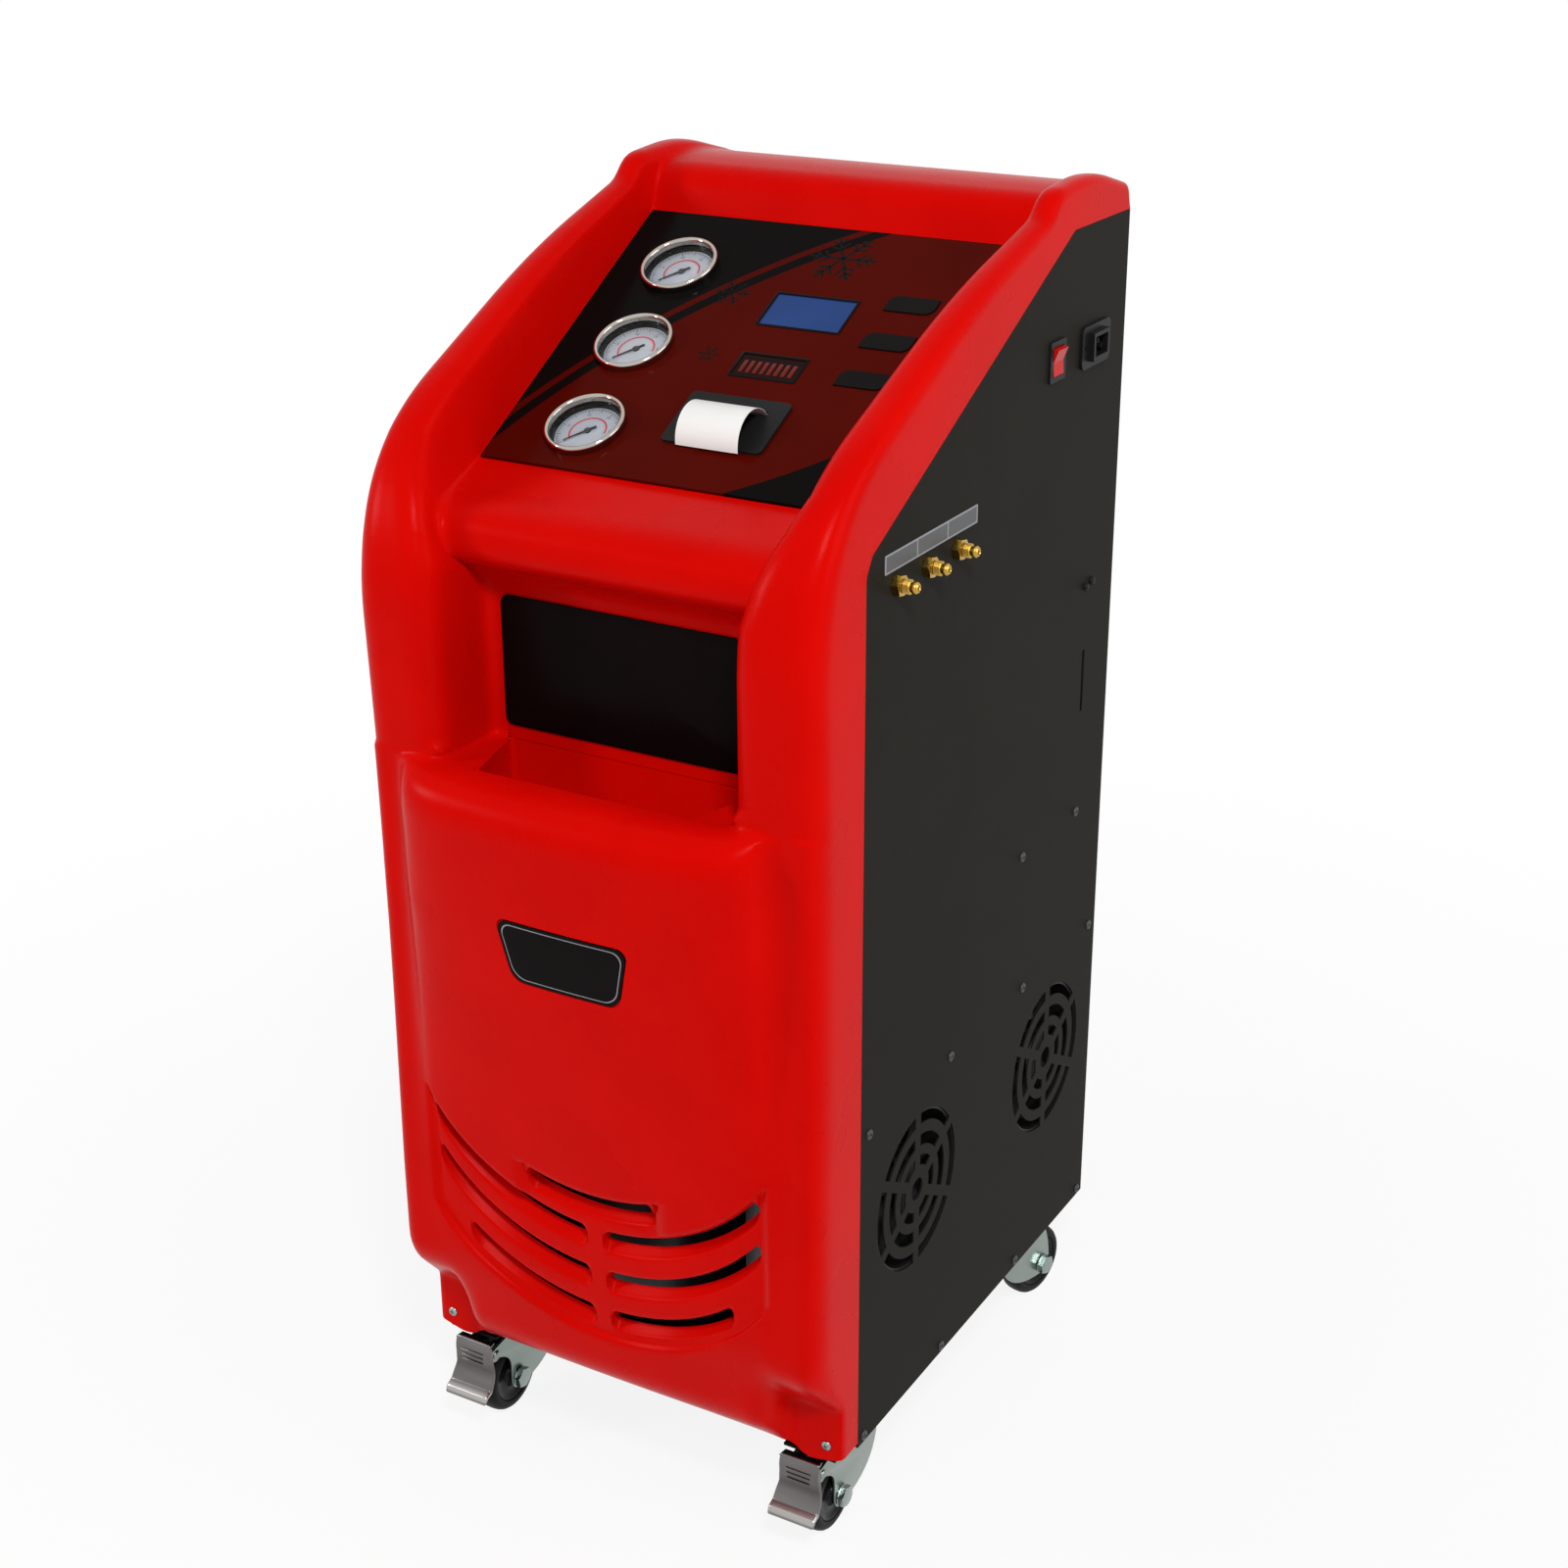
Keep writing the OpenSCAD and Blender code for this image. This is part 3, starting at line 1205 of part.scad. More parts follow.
// Right edge of the pedal from the front: narrow at the top, wide at the foot
pedal_side = concat(
    [[pedal_top_w / 2, crown_top + 8]],
    curve([pedal_top_w / 2, 2 * wheel_r], [pedal_top_w / 2, 60], [pedal_w / 2, 44]),
    curve([pedal_w / 2, 40], [pedal_w / 2, 30], [pedal_w / 2 - 9, 30]));
pedal_front = concat(pedal_side,
    [for (k = [len(pedal_side) - 1:-1:0]) [-pedal_side[k][0], pedal_side[k][1]]]);

module pedal(i) {
    ear_x = leg_out + ear_gap;
    back = path_moved_in([for (k = [len(pedal_path) - 1:-1:0]) pedal_path[k]]);
    color(zinc) stand() at_caster(i) {
        intersection() {
            rotate([90, 0, 90]) linear_extrude(pedal_w, center = true)
                polygon([for (p = concat(pedal_path, back)) [p[0], p[1]]]);
            rotate([90, 0, 0]) linear_extrude(cabinet_d) polygon(pedal_front);
        }
        for (x = [-ear_x - ear_t, ear_x]) translate([x, 0, 0]) rotate([90, 0, 90]) linear_extrude(ear_t) {
            polygon([[-71, 88], pedal_pin + [0, 6], pedal_pin + [4, -5], [-69, 64]]);
            translate(pedal_pin) circle(6);
        }
        translate([0, pedal_pin[0], pedal_pin[1]]) rotate([0, 90, 0])
            cylinder(r = pin_r, h = 2 * (ear_x + ear_t), center = true);
    }
}

module pedal_right() { pedal(0); }
module pedal_left() { pedal(1); }

base_tray();
inner_frame();
right_side_panel();
left_side_panel();
back_panel();
front_shell();
control_overlay();
display_module();
indicator_bar();
gauge_cases();
gauge_dials();
gauge_lenses();
gauge_bezels();
upper_needle();
middle_needle();
lower_needle();
upper_key();
middle_key();
lower_key();
printer_body();
paper_roll();
paper_strip();
service_ports();
valve_manifold();
solenoid_valves();
switch_frame();
switch_rocker();
power_inlet();
fan_frames();
front_fan_rotor();
rear_fan_rotor();
panel_screws();
shell_screws();
refrigerant_tank();
tank_scale();
compressor();
vacuum_pump();
condenser();
filter_drier();
oil_separator();
oil_bottle();
control_board();
power_supply();
caster_plates();
fork_front_right();
fork_front_left();
fork_rear_right();
fork_rear_left();
axle_front_right();
axle_front_left();
axle_rear_right();
axle_rear_left();
wheel_front_right();
wheel_front_left();
wheel_rear_right();
wheel_rear_left();
pedal_right();
pedal_left();
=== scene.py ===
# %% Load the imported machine
import json
from math import asin, atan2, cos, degrees, hypot, pi, radians, sin, sqrt

import bpy
import numpy as np
from mathutils import Matrix, Vector


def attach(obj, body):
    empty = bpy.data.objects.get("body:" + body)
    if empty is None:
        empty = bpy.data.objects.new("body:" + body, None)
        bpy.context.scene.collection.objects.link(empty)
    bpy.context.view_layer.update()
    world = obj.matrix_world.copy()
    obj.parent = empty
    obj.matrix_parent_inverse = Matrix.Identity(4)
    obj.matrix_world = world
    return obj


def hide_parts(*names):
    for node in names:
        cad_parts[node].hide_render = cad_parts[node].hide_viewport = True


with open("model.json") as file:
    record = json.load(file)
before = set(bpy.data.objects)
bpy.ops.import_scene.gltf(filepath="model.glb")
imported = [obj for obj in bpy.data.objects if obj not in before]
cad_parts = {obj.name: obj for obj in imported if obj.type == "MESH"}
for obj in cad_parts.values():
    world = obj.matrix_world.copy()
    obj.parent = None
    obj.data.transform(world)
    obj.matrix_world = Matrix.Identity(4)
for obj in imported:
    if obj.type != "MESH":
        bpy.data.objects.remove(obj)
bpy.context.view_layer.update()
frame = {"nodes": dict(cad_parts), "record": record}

nodes = frame["nodes"]

# %% [markdown]
# The machine is a sheet-metal cabinet with a moulded front. Its drawing counts millimetres from
# the front edge of the side sheets, and a few helpers turn them into metres in the shared frame.

# %% Sizes and places
MM = 0.001
HALF_W, CAB_D, BOTTOM, FRONT_TOP, TOP, TOP_D = 210.0, 470.0, 103.0, 889.0, 1074.0, 115.0
RUN, RISE = CAB_D - TOP_D, TOP - FRONT_TOP
SLOPE, SLOPE_LEN = atan2(RISE, RUN), hypot(RUN, RISE)
COS, SIN = cos(SLOPE), sin(SLOPE)
# turns for a piece that was made flat in XY: onto the panel, the right side, the front
PANEL_TURN = Matrix(((1, 0, 0), (0, COS, -SIN), (0, SIN, COS))).to_4x4()
SIDE_TURN = Matrix(((0, 0, 1), (1, 0, 0), (0, 1, 0))).to_4x4()
FRONT_TURN = Matrix(((1, 0, 0), (0, 0, -1), (0, 1, 0))).to_4x4()


def place(x, y, z):
    """A drawing point in metres in the shared frame."""
    return Vector((x, y - CAB_D / 2, z)) * MM


def moved(x, y, z):
    """A move in millimetres."""
    return Matrix.Translation((x * MM, y * MM, z * MM))


def spun(degrees, axis="Z"):
    """A turn about the origin."""
    return Matrix.Rotation(radians(degrees), 4, axis)


def standing(x, y, z):
    """A move from the origin to a drawing point."""
    return Matrix.Translation(place(x, y, z))


def slope_line(s, h):
    """Y and Z of a point s along the slope and h above it."""
    return s * COS - h * SIN, FRONT_TOP + s * SIN + h * COS


def on_panel(x, s, h=0.0):
    """A point on the sloping panel in metres."""
    return place(x, *slope_line(s, h))


def panel_frame(x, s, h=0.0):
    """Lays a piece on the panel: X right, Y up the slope, Z out of it."""
    return Matrix.Translation(on_panel(x, s, h)) @ PANEL_TURN


def side_frame(y, z, x=HALF_W):
    """Lays a piece on the right side: X back, Y up, Z out of it."""
    return standing(x, y, z) @ SIDE_TURN


print("slope %.1f degrees, %.0f mm long" % (degrees(SLOPE), SLOPE_LEN))

# %% [markdown]
# The camera stands where the photograph's stood, to the right of the machine and above its top.
# Its place and angles were worked out from the straight edges of the cabinet.

# %% Camera
YAW, PITCH, ROLL, CAMERA_AT = 0.5234, 0.4003, -0.0034, (1.0150, -1.7516, 1.4429)
FOCAL_PIXELS, FRAME_PIXELS, SENSOR = 2521.83, 1600.0, 36.0
level = cos(PITCH)
forward = Vector((-sin(YAW) * level, cos(YAW) * level, -sin(PITCH)))
right = Vector((cos(YAW), sin(YAW), 0))
lens = bpy.data.cameras.new("camera")
lens.lens = FOCAL_PIXELS / FRAME_PIXELS * SENSOR
lens.sensor_width = SENSOR
camera = bpy.data.objects.new("camera", lens)
look = Matrix((right, right.cross(forward), -forward)).transposed().to_4x4()
camera.matrix_world = Matrix.Translation(CAMERA_AT) @ look @ Matrix.Rotation(ROLL, 4, "Z")
bpy.context.collection.objects.link(camera)
scene = bpy.context.scene
scene.camera = camera
print("camera lens %.1f mm" % lens.lens)

# %% [markdown]
# Floor, world and finishes are shader nodes. Helpers add a node and feed its inputs with a value
# or a link, so that each shader below reads as a short list.

# %% Shader helpers


def feed(tree, target, inputs):
    """Gives inputs of a node a value or a link."""
    for name, value in inputs.items():
        if isinstance(value, bpy.types.NodeSocket):
            tree.links.new(value, target.inputs[name])
        else:
            target.inputs[name].default_value = value


def add(tree, kind, inputs=(), **settings):
    """Adds a node and returns its outputs."""
    made = tree.nodes.new("ShaderNode" + kind)
    for name, value in settings.items():
        setattr(made, name, value)
    feed(tree, made, dict(inputs))
    return made.outputs


def ramp(tree, share, stops, interpolation="LINEAR"):
    """A colour ramp through (place, colour) stops."""
    made = tree.nodes.new("ShaderNodeValToRGB")
    made.color_ramp.interpolation = interpolation
    marks = made.color_ramp.elements
    for spot, colour in stops:
        marks.new(spot).color = (*colour, 1)
    marks.remove(marks[0])
    marks.remove(marks[-1])
    feed(tree, made, {"Fac": share})
    return made.outputs["Color"]


def new_material(name):
    """A material with shader nodes, and their tree."""
    made = bpy.data.materials.new(name)
    made.use_nodes = True
    return made, made.node_tree


print("shader helpers ready")

# %% [markdown]
# The studio is a white sweep with a narrow soft box on the left for the long gleam on the rail, a
# small strong one high in front and a large one on the right. Camera, glossy and transmission rays
# see plain white; all others get the sweep's real colour.

# %% Studio
WHITE, FLOOR_GREY, DIM_WORLD = (1, 1, 1, 1), (0.86, 0.86, 0.86, 1), 0.30
scene.view_settings.view_transform = "Standard"


def plain_rays(tree):
    """1 for camera, glossy and transmission rays, 0 for all others."""
    rays = add(tree, "LightPath")
    seen = rays["Is Camera Ray"]
    for kind in ("Is Glossy Ray", "Is Transmission Ray"):
        seen = add(tree, "Math", {0: seen, 1: rays[kind]}, operation="MAXIMUM")[0]
    return seen


def floor_material():
    """A floor that the camera sees as white, apart from the shadow."""
    made, tree = new_material("studio_floor")
    coat = tree.nodes["Principled BSDF"]
    feed(tree, coat, {"Base Color": FLOOR_GREY, "Roughness": 0.9})
    glow = add(tree, "Emission", {"Color": WHITE})
    where = add(tree, "TexCoord")["Object"]
    far = add(tree, "VectorMath", {0: where}, operation="LENGTH")["Value"]
    fade = add(tree, "MapRange", {"Value": far, "From Min": 0.3, "From Max": 1.8, "To Min": 0.88},
               interpolation_type="SMOOTHSTEP")["Result"]
    share = add(tree, "Math", {0: plain_rays(tree), 1: fade}, operation="MULTIPLY")[0]
    mix = add(tree, "MixShader", {0: share, 1: coat.outputs[0], 2: glow[0]})
    feed(tree, tree.nodes["Material Output"], {"Surface": mix[0]})
    return made


def soft_box(name, at, aim, size, power):
    """A rectangular area lamp that points at aim."""
    lamp = bpy.data.lights.new(name, "AREA")
    lamp.shape = "RECTANGLE"
    lamp.size, lamp.size_y = size
    lamp.energy = power
    holder = bpy.data.objects.new(name, lamp)
    holder.location = at
    holder.rotation_euler = (Vector(aim) - Vector(at)).to_track_quat("-Z", "Y").to_euler()
    bpy.context.collection.objects.link(holder)


world = bpy.data.worlds.new("studio")
scene.world = world
world.use_nodes = True
sky = world.node_tree
strength = add(sky, "MapRange", {"Value": plain_rays(sky), "To Min": DIM_WORLD, "To Max": 1.0})
feed(sky, sky.nodes["Background"], {"Color": WHITE, "Strength": strength["Result"]})
bpy.ops.object.select_all(action="DESELECT")
bpy.ops.mesh.primitive_plane_add(size=30, location=(0, 0, -0.0005))
floor = bpy.context.object
floor.name = "studio_floor"
floor.data.materials.append(floor_material())
soft_box("left_box", (-2.2, -1.7, 1.7), (0, -0.1, 0.75), (0.3, 0.7), 24)
soft_box("front_box", (1.5, -2.0, 2.9), (0, -0.1, 0.8), (0.45, 0.45), 60)
soft_box("right_box", (3.0, 0.2, 1.9), (0.2, 0, 0.6), (1.6, 2.2), 30)
print("studio with three soft boxes")

# %% [markdown]
# Each finish works on Object coordinates. Colour, roughness and grain vary a little, as they do on
# real paint, moulded plastic and plated steel.

# %% Finishes
PATCH = 12.0
finishes, slot_finish = {}, {}


def finish(name, colour, second, rough, slot=None, grain=400.0, bump=0.05, depth=0.0004, spread=0.06,
           stretch=(1, 1, 1), gloss=0.5, **sockets):
    """Two close colours in soft patches, uneven roughness and a fine grain."""
    made, tree = new_material(name)
    where = add(tree, "TexCoord")["Object"]
    where = add(tree, "Mapping", {"Vector": where, "Scale": stretch})["Vector"]
    soft = add(tree, "TexNoise", {"Vector": where, "Scale": PATCH, "Detail": 4})["Fac"]
    fine = add(tree, "TexNoise", {"Vector": where, "Scale": grain, "Detail": 2})["Fac"]
    low, high = max(rough - spread, 0.02), rough + spread
    uneven = add(tree, "MapRange", {"Value": soft, "To Min": low, "To Max": high})
    relief = add(tree, "Bump", {"Height": fine, "Strength": bump, "Distance": depth})
    skin = {"Base Color": ramp(tree, soft, ((0.35, colour), (0.65, second))),
            "Roughness": uneven["Result"], "Normal": relief["Normal"], "Specular IOR Level": gloss}
    skin.update((socket.replace("_", " "), value) for socket, value in sockets.items())
    feed(tree, tree.nodes["Principled BSDF"], skin)
    finishes[name] = made
    if slot:
        slot_finish[slot] = name


finish("red_moulding", (0.6, 0.0016, 0.0005), (0.64, 0.0021, 0.0006), 0.28, "shell", grain=700,
       bump=0.16, depth=0.0008, gloss=0.04, Specular_Tint=(1.0, 0.5, 0.5, 1))
finish("black_powder_coat", (0.015, 0.0135, 0.011), (0.0185, 0.0168, 0.014), 0.5, "sheet", grain=1400,
       bump=0.3, depth=0.0005, gloss=0.02)
finish("zinc_plate", (0.23, 0.275, 0.25), (0.28, 0.32, 0.295), 0.3, "frame", grain=300, Metallic=1.0)
finish("pressed_steel", (0.36, 0.34, 0.33), (0.44, 0.42, 0.41), 0.25, "pedal", grain=220, bump=0.06,
       stretch=(1, 12, 1), Metallic=1.0)
finish("bolt_zinc", (0.26, 0.31, 0.3), (0.32, 0.37, 0.36), 0.24, "bolt", grain=500, Metallic=1.0)
finish("black_oxide", (0.018, 0.018, 0.018), (0.03, 0.029, 0.028), 0.4, "screw", grain=700)
finish("caster_rubber", (0.007, 0.007, 0.008), (0.011, 0.011, 0.011), 0.5, "tyre", grain=350,
       bump=0.15, gloss=0.1)
finish("panel_acrylic", (0.072, 0.0024, 0.0006), (0.082, 0.003, 0.0008), 0.16, "panel", bump=0.02,
       gloss=0.012)
finish("gloss_black", (0.005, 0.0042, 0.004), (0.0065, 0.0055, 0.0052), 0.16, bump=0.02, gloss=0.03)
finish("display_glass", (0.006, 0.038, 0.17), (0.009, 0.048, 0.2), 0.18, "glass", bump=0.02, gloss=0.12)
finish("smoked_window", (0.01, 0.003, 0.002), (0.014, 0.004, 0.003), 0.14, "lamp", bump=0.02, gloss=0.03)
finish("chrome_bezel", (0.4, 0.38, 0.34), (0.48, 0.46, 0.42), 0.1, "chrome", spread=0.02, grain=60,
       bump=0.02, Metallic=1.0)
finish("dial_face", (0.42, 0.45, 0.52), (0.48, 0.51, 0.57), 0.45, "dial")
finish("clear_lens", (0.95, 0.97, 0.97), (1.0, 1.0, 1.0), 0.05, "lens", spread=0.02, bump=0.01,
       Transmission_Weight=1.0, IOR=1.1)
finish("black_moulding", (0.009, 0.009, 0.009), (0.013, 0.013, 0.013), 0.38, "black_plastic", grain=900,
       bump=0.12, gloss=0.08)
finish("red_rocker", (0.5, 0.006, 0.004), (0.56, 0.008, 0.005), 0.25, "rocker", gloss=0.1)
finish("slip_paper", (0.8, 0.8, 0.78), (0.86, 0.86, 0.84), 0.65, "paper", grain=900, bump=0.08)
finish("turned_brass", (0.46, 0.29, 0.05), (0.54, 0.35, 0.08), 0.24, "brass", grain=240,
       stretch=(14, 1, 1), Metallic=1.0)
finish("machined_alloy", (0.66, 0.67, 0.68), (0.74, 0.75, 0.76), 0.34, "alloy", grain=260, bump=0.06,
       Metallic=1.0)
finish("tank_enamel", (0.27, 0.29, 0.32), (0.33, 0.35, 0.38), 0.34, "tank")
finish("compressor_enamel", (0.017, 0.017, 0.02), (0.026, 0.026, 0.03), 0.38, "motor")
finish("pump_enamel", (0.03, 0.09, 0.26), (0.05, 0.12, 0.32), 0.34, "pump")
finish("bottle_plastic", (0.74, 0.71, 0.6), (0.82, 0.79, 0.68), 0.4, "bottle")
finish("circuit_board", (0.012, 0.12, 0.035), (0.02, 0.17, 0.05), 0.35, "board")


def overlay(name, inputs, **settings):
    """Mixes a second colour over that of a finish."""
    tree = finishes[name].node_tree
    colour = tree.nodes["Principled BSDF"].inputs["Base Color"]
    ground = colour.links[0].from_socket
    mix = add(tree, "Mix", {"A": ground, **inputs}, data_type="RGBA", **settings)
    tree.links.new(mix["Result"], colour)


def painted_reflection_bands(name, low, high, shades):
    """Paints reflection bands on a metal by its height: a painted highlight band and darker painted
    reflections.
    """
    tree = finishes[name].node_tree
    where = add(tree, "TexCoord")["Object"]
    up = add(tree, "SeparateXYZ", {0: where})["Z"]
    height = add(tree, "MapRange", {"Value": up, "From Min": low * MM, "From Max": high * MM})
    tone = ramp(tree, height["Result"], [(spot, (shade,) * 3) for spot, shade in shades], "EASE")
    overlay(name, {"Factor": 1.0, "B": tone}, blend_type="MULTIPLY")


def paint(piece, surface):
    """Gives a piece, or a part of one, its finish."""
    piece.data.materials.clear()
    piece.data.materials.append(finishes[surface])
    return piece


# painted reflection on the pedals: a painted highlight band across the top of the foot's rim, and darker
# painted reflection bands up the plate
painted_reflection_bands("pressed_steel", 41, 99, (
    (0.01, 0.45), (0.08, 0.5), (0.12, 1.0), (0.18, 1.0), (0.23, 0.42), (0.36, 0.40), (0.53, 0.26),
    (0.70, 0.36), (0.98, 0.40)))
for row in frame["record"]["subparts"]:
    paint(nodes[row["node"]], slot_finish[row["material_slot"]])
print("dressed", len(nodes), "nodes in", len(finishes), "finishes")

# %% [markdown]
# Small helpers for modelling by hand: start a primitive with nothing else selected, apply its
# place and its modifiers, and hand the piece over to the body it moves with.

# %% Modelling helpers


def start():
    """Deselects everything."""
    bpy.ops.object.select_all(action="DESELECT")


def only(piece):
    """Selects one piece and makes it active."""
    start()
    piece.select_set(True)
    bpy.context.view_layer.objects.active = piece


def applied(piece):
    """Bakes modifiers and place into the mesh."""
    only(piece)
    for modifier in list(piece.modifiers):
        bpy.ops.object.modifier_apply(modifier=modifier.name)
    piece.data.transform(piece.matrix_world)
    piece.matrix_world = Matrix.Identity(4)
    return piece


def soften(piece, width, segments=3, angle=30):
    """Rounds sharp edges with a bevel."""
    bevel = piece.modifiers.new("soft_edges", "BEVEL")
    bevel.width = width * MM
    bevel.segments = segments
    bevel.limit_method = "ANGLE"
    bevel.angle_limit = radians(angle)
    return piece


def carve(piece, tool, how="DIFFERENCE"):
    """Cuts a tool out of a piece and throws the tool away."""
    cut = piece.modifiers.new("cut", "BOOLEAN")
    cut.operation, cut.object, cut.solver = how, tool, "EXACT"
    applied(piece)
    bpy.data.objects.remove(tool)
    return piece


def thicken(piece, thickness):
    """Gives a skin its wall, inwards."""
    wall = piece.modifiers.new("wall", "SOLIDIFY")
    wall.thickness, wall.offset = thickness * MM, -1
    return piece


def give(piece, name, body, stands_for=(), surface=None, smooth=35):
    """Names and shades a piece, and sets its body, slot and replaced nodes."""
    applied(piece)
    bpy.ops.object.shade_smooth_by_angle(angle=radians(smooth))
    piece.name = piece.data.name = name
    if surface:
        paint(piece, surface)
    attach(piece, body)
    if stands_for:
        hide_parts(*stands_for)


def mesh_piece(name, points, faces):
    """An object from points in metres and faces."""
    mesh = bpy.data.meshes.new(name)
    mesh.from_pydata([tuple(p) for p in points], [], faces)
    mesh.validate()
    made = bpy.data.objects.new(name, mesh)
    bpy.context.collection.objects.link(made)
    return made


print("helpers ready")

# %% [markdown]
# The front shell is lofted: one path runs up the middle, one up the crest of a rail, one along the
# seam, and at each station a cross-section with rounded corners joins them. Inside the vent the
# rows of the net follow the curved slots, so that each rib gets a clean rounded edge.

# %% Paths of the front shell
RECESS_FLOOR, RECESS_ROOF, PANEL_LOW, PANEL_HIGH, PANEL_T = 690, 834, 44, 377, 3.3
# stations count millimetres up the front and then along the slope and the top
ST_FLOOR, ST_ROOF, ST_FOOT = RECESS_FLOOR - BOTTOM - 14, RECESS_ROOF - BOTTOM - 9, FRONT_TOP - BOTTOM
ST_LOW, ST_HIGH = ST_FOOT + PANEL_LOW, ST_FOOT + PANEL_HIGH
ST_TOP, ST_BACK = ST_FOOT + SLOPE_LEN, ST_FOOT + SLOPE_LEN + TOP_D
# rows of both paths: y, z, blend at the corner, station
RAIL_PATH = [
    (-28, BOTTOM + 5, 0, 0), (-28, BOTTOM + 55, 8, 55), (-76, BOTTOM + 104, 30, 112),
    (-71, BOTTOM + 480, 200, 480), (-84, FRONT_TOP + 37, 160, ST_FOOT),
    (*slope_line(230, 63), 90, ST_FOOT + 230), (*slope_line(SLOPE_LEN - 36, 38), 10, ST_TOP - 36),
    (RUN - 30, TOP + 36, 16, ST_TOP - 8), (RUN + 45, TOP + 41, 40, ST_TOP + 45),
    (CAB_D, TOP + 22, 8, ST_BACK - 12), (CAB_D, TOP + 1.5, 0, ST_BACK)]
MIDDLE_PATH = [
    (-34, BOTTOM + 13, 0, 0), (-66, BOTTOM + 38, 28, 50), (-76, BOTTOM + 128, 50, 122),
    (-112, 570, 120, ST_FLOOR - 105),
    (-120, RECESS_FLOOR, 50, ST_FLOOR), (0, RECESS_FLOOR, 9, ST_FLOOR + 27),
    (0, RECESS_ROOF, 26, ST_ROOF), (-40, 850, 22, ST_ROOF + 30), (-37, FRONT_TOP, 34, ST_FOOT),
    (*slope_line(PANEL_LOW, -PANEL_T), 3, ST_LOW), (*slope_line(PANEL_HIGH, -PANEL_T), 3, ST_HIGH),
    (RUN - 9, TOP + 24, 26, ST_TOP), (RUN + 45, TOP + 32, 40, ST_TOP + 45),
    (CAB_D, TOP + 20, 6, ST_BACK - 12), (CAB_D, TOP + 1.5, 0, ST_BACK)]
SEAM_PATH = [(-0.3, BOTTOM + 5, 0), (-0.3, FRONT_TOP - 10, ST_FOOT - 10),
             (*slope_line(10, 0.3), ST_FOOT + 10), (RUN, TOP + 0.3, ST_TOP), (CAB_D, TOP + 0.3, ST_BACK)]
# station, foot x, crest x, foot's share of the rail depth, blends: middle, foot, crest, outer edge
SECTIONS = np.array([
    (0, 150, 163, 0.12, 120, 14, 5, 5), (55, 150, 163, 0.12, 120, 14, 5, 5),
    (112, 152, 170, 0.25, 120, 30, 12, 28), (200, 152, 178, 0.5, 120, 50, 14, 28),
    (ST_FLOOR - 95, 152, 176, 0.25, 120, 60, 12, 28), (ST_FLOOR + 4, 152, 172, 0.2, 120, 40, 12, 28),
    (ST_FLOOR + 13, 134, 135, 0, 60, 10, 26, 28), (ST_ROOF, 135, 138, 0, 60, 12, 26, 28),
    (ST_ROOF + 30, 141, 146, 0, 60, 12, 24, 26), (ST_FOOT, 152, 158, 0, 60, 10, 22, 22),
    (ST_LOW, 170, 171.5, 0, 60, 3, 18, 18), (ST_HIGH, 186, 187.5, 0, 60, 3, 11, 11),
    (ST_TOP + 45, 182, 190, 0, 60, 10, 9, 9), (ST_BACK, 182, 190, 0, 60, 10, 9, 9)])


def curve(a, p, c, t):
    """Points at shares t of a curve from a to c that leans towards p."""
    t = t[:, None]
    return (1 - t) ** 2 * a + 2 * t * (1 - t) * p + t ** 2 * c


def bend(a, p, c, blend, steps):
    """Points of the rounded corner at p, between a and c."""
    a, p, c = (np.array(v, float) for v in (a, p, c))
    enter = p + (a - p) * min(blend / max(np.linalg.norm(a - p), 1e-9), 0.49)
    leave = p + (c - p) * min(blend / max(np.linalg.norm(c - p), 1e-9), 0.49)
    return curve(enter, p, leave, np.linspace(0, 1, steps + 1))


def softened(path, steps=24):
    """A control path with its corners rounded, as rows of y, z, station."""
    knots = [(y, z, s) for y, z, _, s in path]
    rows = []
    for i, (_, _, blend, _) in enumerate(path):
        rows.append(bend(*knots[i - 1:i + 2], blend, steps) if blend else np.array([knots[i]], float))
    return np.concatenate(rows)


middle_line, rail_line, seam_line = softened(MIDDLE_PATH), softened(RAIL_PATH), np.array(SEAM_PATH)
print("shell paths of %d, %d and %d points" % (len(middle_line), len(rail_line), len(seam_line)))

# %% Net of the front shell
VENT_X = [0, 3, 5.5, 7.2, 7.8, 8.6, 10, 12, 14.5, 18, 23, 29, 36, 43, 50, 54, 57.5, 60, 62, 63.2, 63.8,
          66, 71, 78, 86, 94, 102, 110, 117, 122, 126.5, 129, 131, 132.2, 132.8, 135, 140, 146, 150,
          153.5, 156, 158, 159.2, 159.8, 162, 164.5, 166.5, 168.5, 171]
# columns of the net between one blend and the next, above the vent
SPANS = [18, 7, 8, 9, 6, 12, 8]
VENT_TO, SPANS_FROM, TAB_REACH = 380, 520, 45
# how far the rounded corner tabs hang below the straight lower edge
TAB_X = [155, 160, 166, 171, 176, 183, 189, 197, 206, 210]
TAB_DROP = [0, 2, 0, -4, -6, -6.5, -5.5, -3.5, -1, 0]


def at_station(line, s):
    """Y and Z of a softened path at a station."""
    return np.array([np.interp(s, line[:, 2], line[:, 0]), np.interp(s, line[:, 2], line[:, 1])])


def smooth_step(a, b, v):
    """0 before a, 1 after b, and a soft rise between."""
    t = np.clip((v - a) / (b - a), 0, 1)
    return t * t * (3 - 2 * t)


